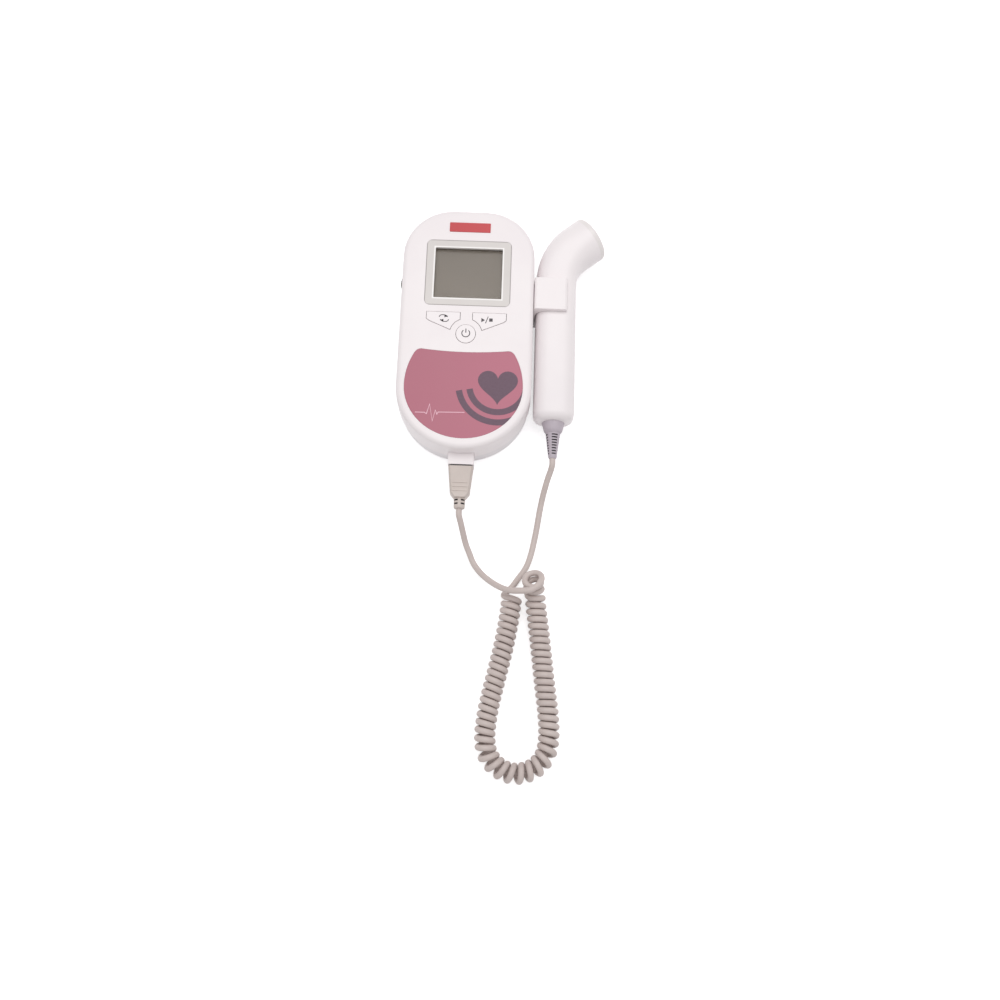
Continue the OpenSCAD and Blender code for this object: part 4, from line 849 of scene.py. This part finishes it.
label_copy = nodes["front_label"].copy()
label_copy.data = nodes["front_label"].data.copy()
bpy.context.scene.collection.objects.link(label_copy)
label_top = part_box("front_label")[1][2]
for corner in label_copy.data.vertices:
    corner.co.z = label_top + (0.5 if corner.co.z > label_top - 0.1 * MM else -0.5) * MM
pick(label_copy)
bpy.ops.object.mode_set(mode="EDIT")
bpy.ops.mesh.select_all(action="SELECT")
bpy.ops.mesh.remove_doubles(threshold=WELD)
bpy.ops.object.mode_set(mode="OBJECT")
cut = picture.modifiers.new("Trim", "BOOLEAN")
cut.operation, cut.solver, cut.object = "INTERSECT", "EXACT", label_copy
pick(picture)
bpy.ops.object.modifier_apply(modifier="Trim")
bpy.data.objects.remove(label_copy)
print("picture:", len(picture.data.polygons), "faces,", [round(c, 4) for c in picture.dimensions])

# %% [markdown]
# ## Finishing the CAD solids
# The CAD solids arrive as loose triangles with flat shading. Two modifiers mend that without
# moving their points: Weld joins the corners, and Edge Split keeps the real edges sharp while
# the rest is shaded smooth. On the holder and the keys the mould leaves rounder edges. There
# Decimate first clears the flat faces of their triangles, Bevel softens the edges, and Weighted
# Normal keeps the large faces between them evenly lit.


# %% Modifiers for a CAD solid
SHARP = math.radians(32)


def dress(name, material, soft):
    """Gives a CAD node its finish, smooth shading and, where soft is over 0, rounded edges."""
    piece = nodes[name]
    piece.data.materials.clear()
    piece.data.materials.append(material)
    pick(piece)
    if piece.data.has_custom_normals:
        bpy.ops.mesh.customdata_custom_splitnormals_clear()
    for face in piece.data.polygons:
        face.use_smooth = True
        face.material_index = 0
    weld = piece.modifiers.new("Weld", "WELD")
    weld.merge_threshold = WELD
    if soft:
        flat = piece.modifiers.new("Flat faces", "DECIMATE")
        flat.decimate_type = "DISSOLVE"
        flat.angle_limit = math.radians(1)
        round_edge = piece.modifiers.new("Soft edges", "BEVEL")
        round_edge.width = soft
        round_edge.segments = 2
        round_edge.limit_method = "ANGLE"
        round_edge.angle_limit = math.radians(40)
        even = piece.modifiers.new("Even shading", "WEIGHTED_NORMAL")
        even.weight = 100
    else:
        split = piece.modifiers.new("Sharp edges", "EDGE_SPLIT")
        split.split_angle = SHARP


FINISHES = {
    case_white: ["front_shell", "socket_housing", "probe_holder"],
    rear_white: ["rear_shell", "battery_door"],
    window_clear: ["display_window"],
    display_grey: ["lcd_glass"],
    backlight_white: ["backlight_frame"],
    label_pink: ["front_label"],
    badge_red: ["name_badge"],
    board_green: ["main_board", "probe_board"],
    chip_black: ["board_chips"],
    socket_black: ["key_switches", "volume_pot", "headphone_socket", "power_plunger",
        "mode_plunger", "play_plunger"],
    speaker_steel: ["speaker"],
    contact_gold: ["socket_contacts"],
    spring_steel: ["contact_springs", "contact_plates"],
    cell_wrap: ["battery_cells"],
    screw_steel: ["case_screws", "board_screws"],
    key_white: ["power_button", "mode_button", "play_button", "plug_tongue"],
    wheel_black: ["volume_wheel"],
    probe_white: ["probe_front_shell", "probe_rear_shell"],
    face_white: ["probe_cap"],
    crystal_silver: ["probe_crystals"],
    boot_rubber: ["probe_boot"],
    plug_rubber: ["plug_body"],
}
SOFT = {"probe_holder": 0.4 * MM, "power_button": 0.12 * MM, "mode_button": 0.12 * MM,
    "play_button": 0.12 * MM}
for finish, names in FINISHES.items():
    for name in names:
        dress(name, finish, SOFT.get(name, 0))
cord.data.materials.append(cord_rubber)
frame_piece.data.materials.append(bezel_grey)
gasket.data.materials.append(socket_black)
for name, finish in (("lead_unit", cord_rubber), ("cord_coil", cord_rubber),
        ("lead_probe", cord_rubber), ("display_bezel", bezel_grey)):
    nodes[name].data.materials.clear()
    nodes[name].data.materials.append(finish)
print("dressed:", sum(len(names) for names in FINISHES.values()))

# %% [markdown]
# ## Floor and light
# The picture has a plain white ground and soft light from all round. The floor is a matt white
# plane that gives the camera a little extra light of its own, so that it turns white there but
# keeps the object's faint shadow. Light Path tells the floor who looks at it. The sky lights the
# object at 0.6, and is white where it is seen or mirrored.


# %% Floor
def looked_at(tree):
    """1 for rays that see a thing straight, in a mirror or through glass, and 0 for other light."""
    paths = tree.nodes.new("ShaderNodeLightPath")
    seen = paths.outputs["Is Camera Ray"]
    for kind in ("Is Glossy Ray", "Is Transmission Ray"):
        either = tree.nodes.new("ShaderNodeMath")
        either.operation = "MAXIMUM"
        tree.links.new(seen, either.inputs[0])
        tree.links.new(paths.outputs[kind], either.inputs[1])
        seen = either.outputs[0]
    return seen


FLOOR_GLOW = 0.55
bpy.ops.object.select_all(action="DESELECT")
bpy.ops.mesh.primitive_plane_add(size=8, location=(0, 0, -0.0002))
floor = bpy.context.object
floor.name = "floor"
ground = Finish("floor_white")
ground.set("Base Color", srgb(237, 236, 237))
ground.set("Roughness", 0.9)
ground.set("Emission Color", (1, 1, 1, 1))
ground.set("Emission Strength", Number(ground, looked_at(ground.tree)) * FLOOR_GLOW)
floor.data.materials.append(ground.material)

# %% Light
SKY, WHITE = 0.6, 1.0
world = bpy.data.worlds.new("studio")
bpy.context.scene.world = world
world.use_nodes = True
sky = world.node_tree
strength = sky.nodes.new("ShaderNodeMapRange")
strength.inputs["To Min"].default_value = SKY
strength.inputs["To Max"].default_value = WHITE
sky.links.new(looked_at(sky), strength.inputs["Value"])
sky.nodes["Background"].inputs["Color"].default_value = (1, 1, 1, 1)
sky.links.new(strength.outputs["Result"], sky.nodes["Background"].inputs["Strength"])


def softbox(name, place, aim, size, watts):
    lamp = bpy.data.lights.new(name, "AREA")
    lamp.size = size
    lamp.energy = watts
    box = bpy.data.objects.new(name, lamp)
    bpy.context.scene.collection.objects.link(box)
    box.location = place
    box.rotation_euler = (Vector(aim) - Vector(place)).to_track_quat("-Z", "Y").to_euler()


softbox("softbox_above", (0.1, 0.25, 1.2), (0.02, -0.05, 0), 1.0, 6.6)
bpy.context.scene.view_settings.view_transform = "Standard"
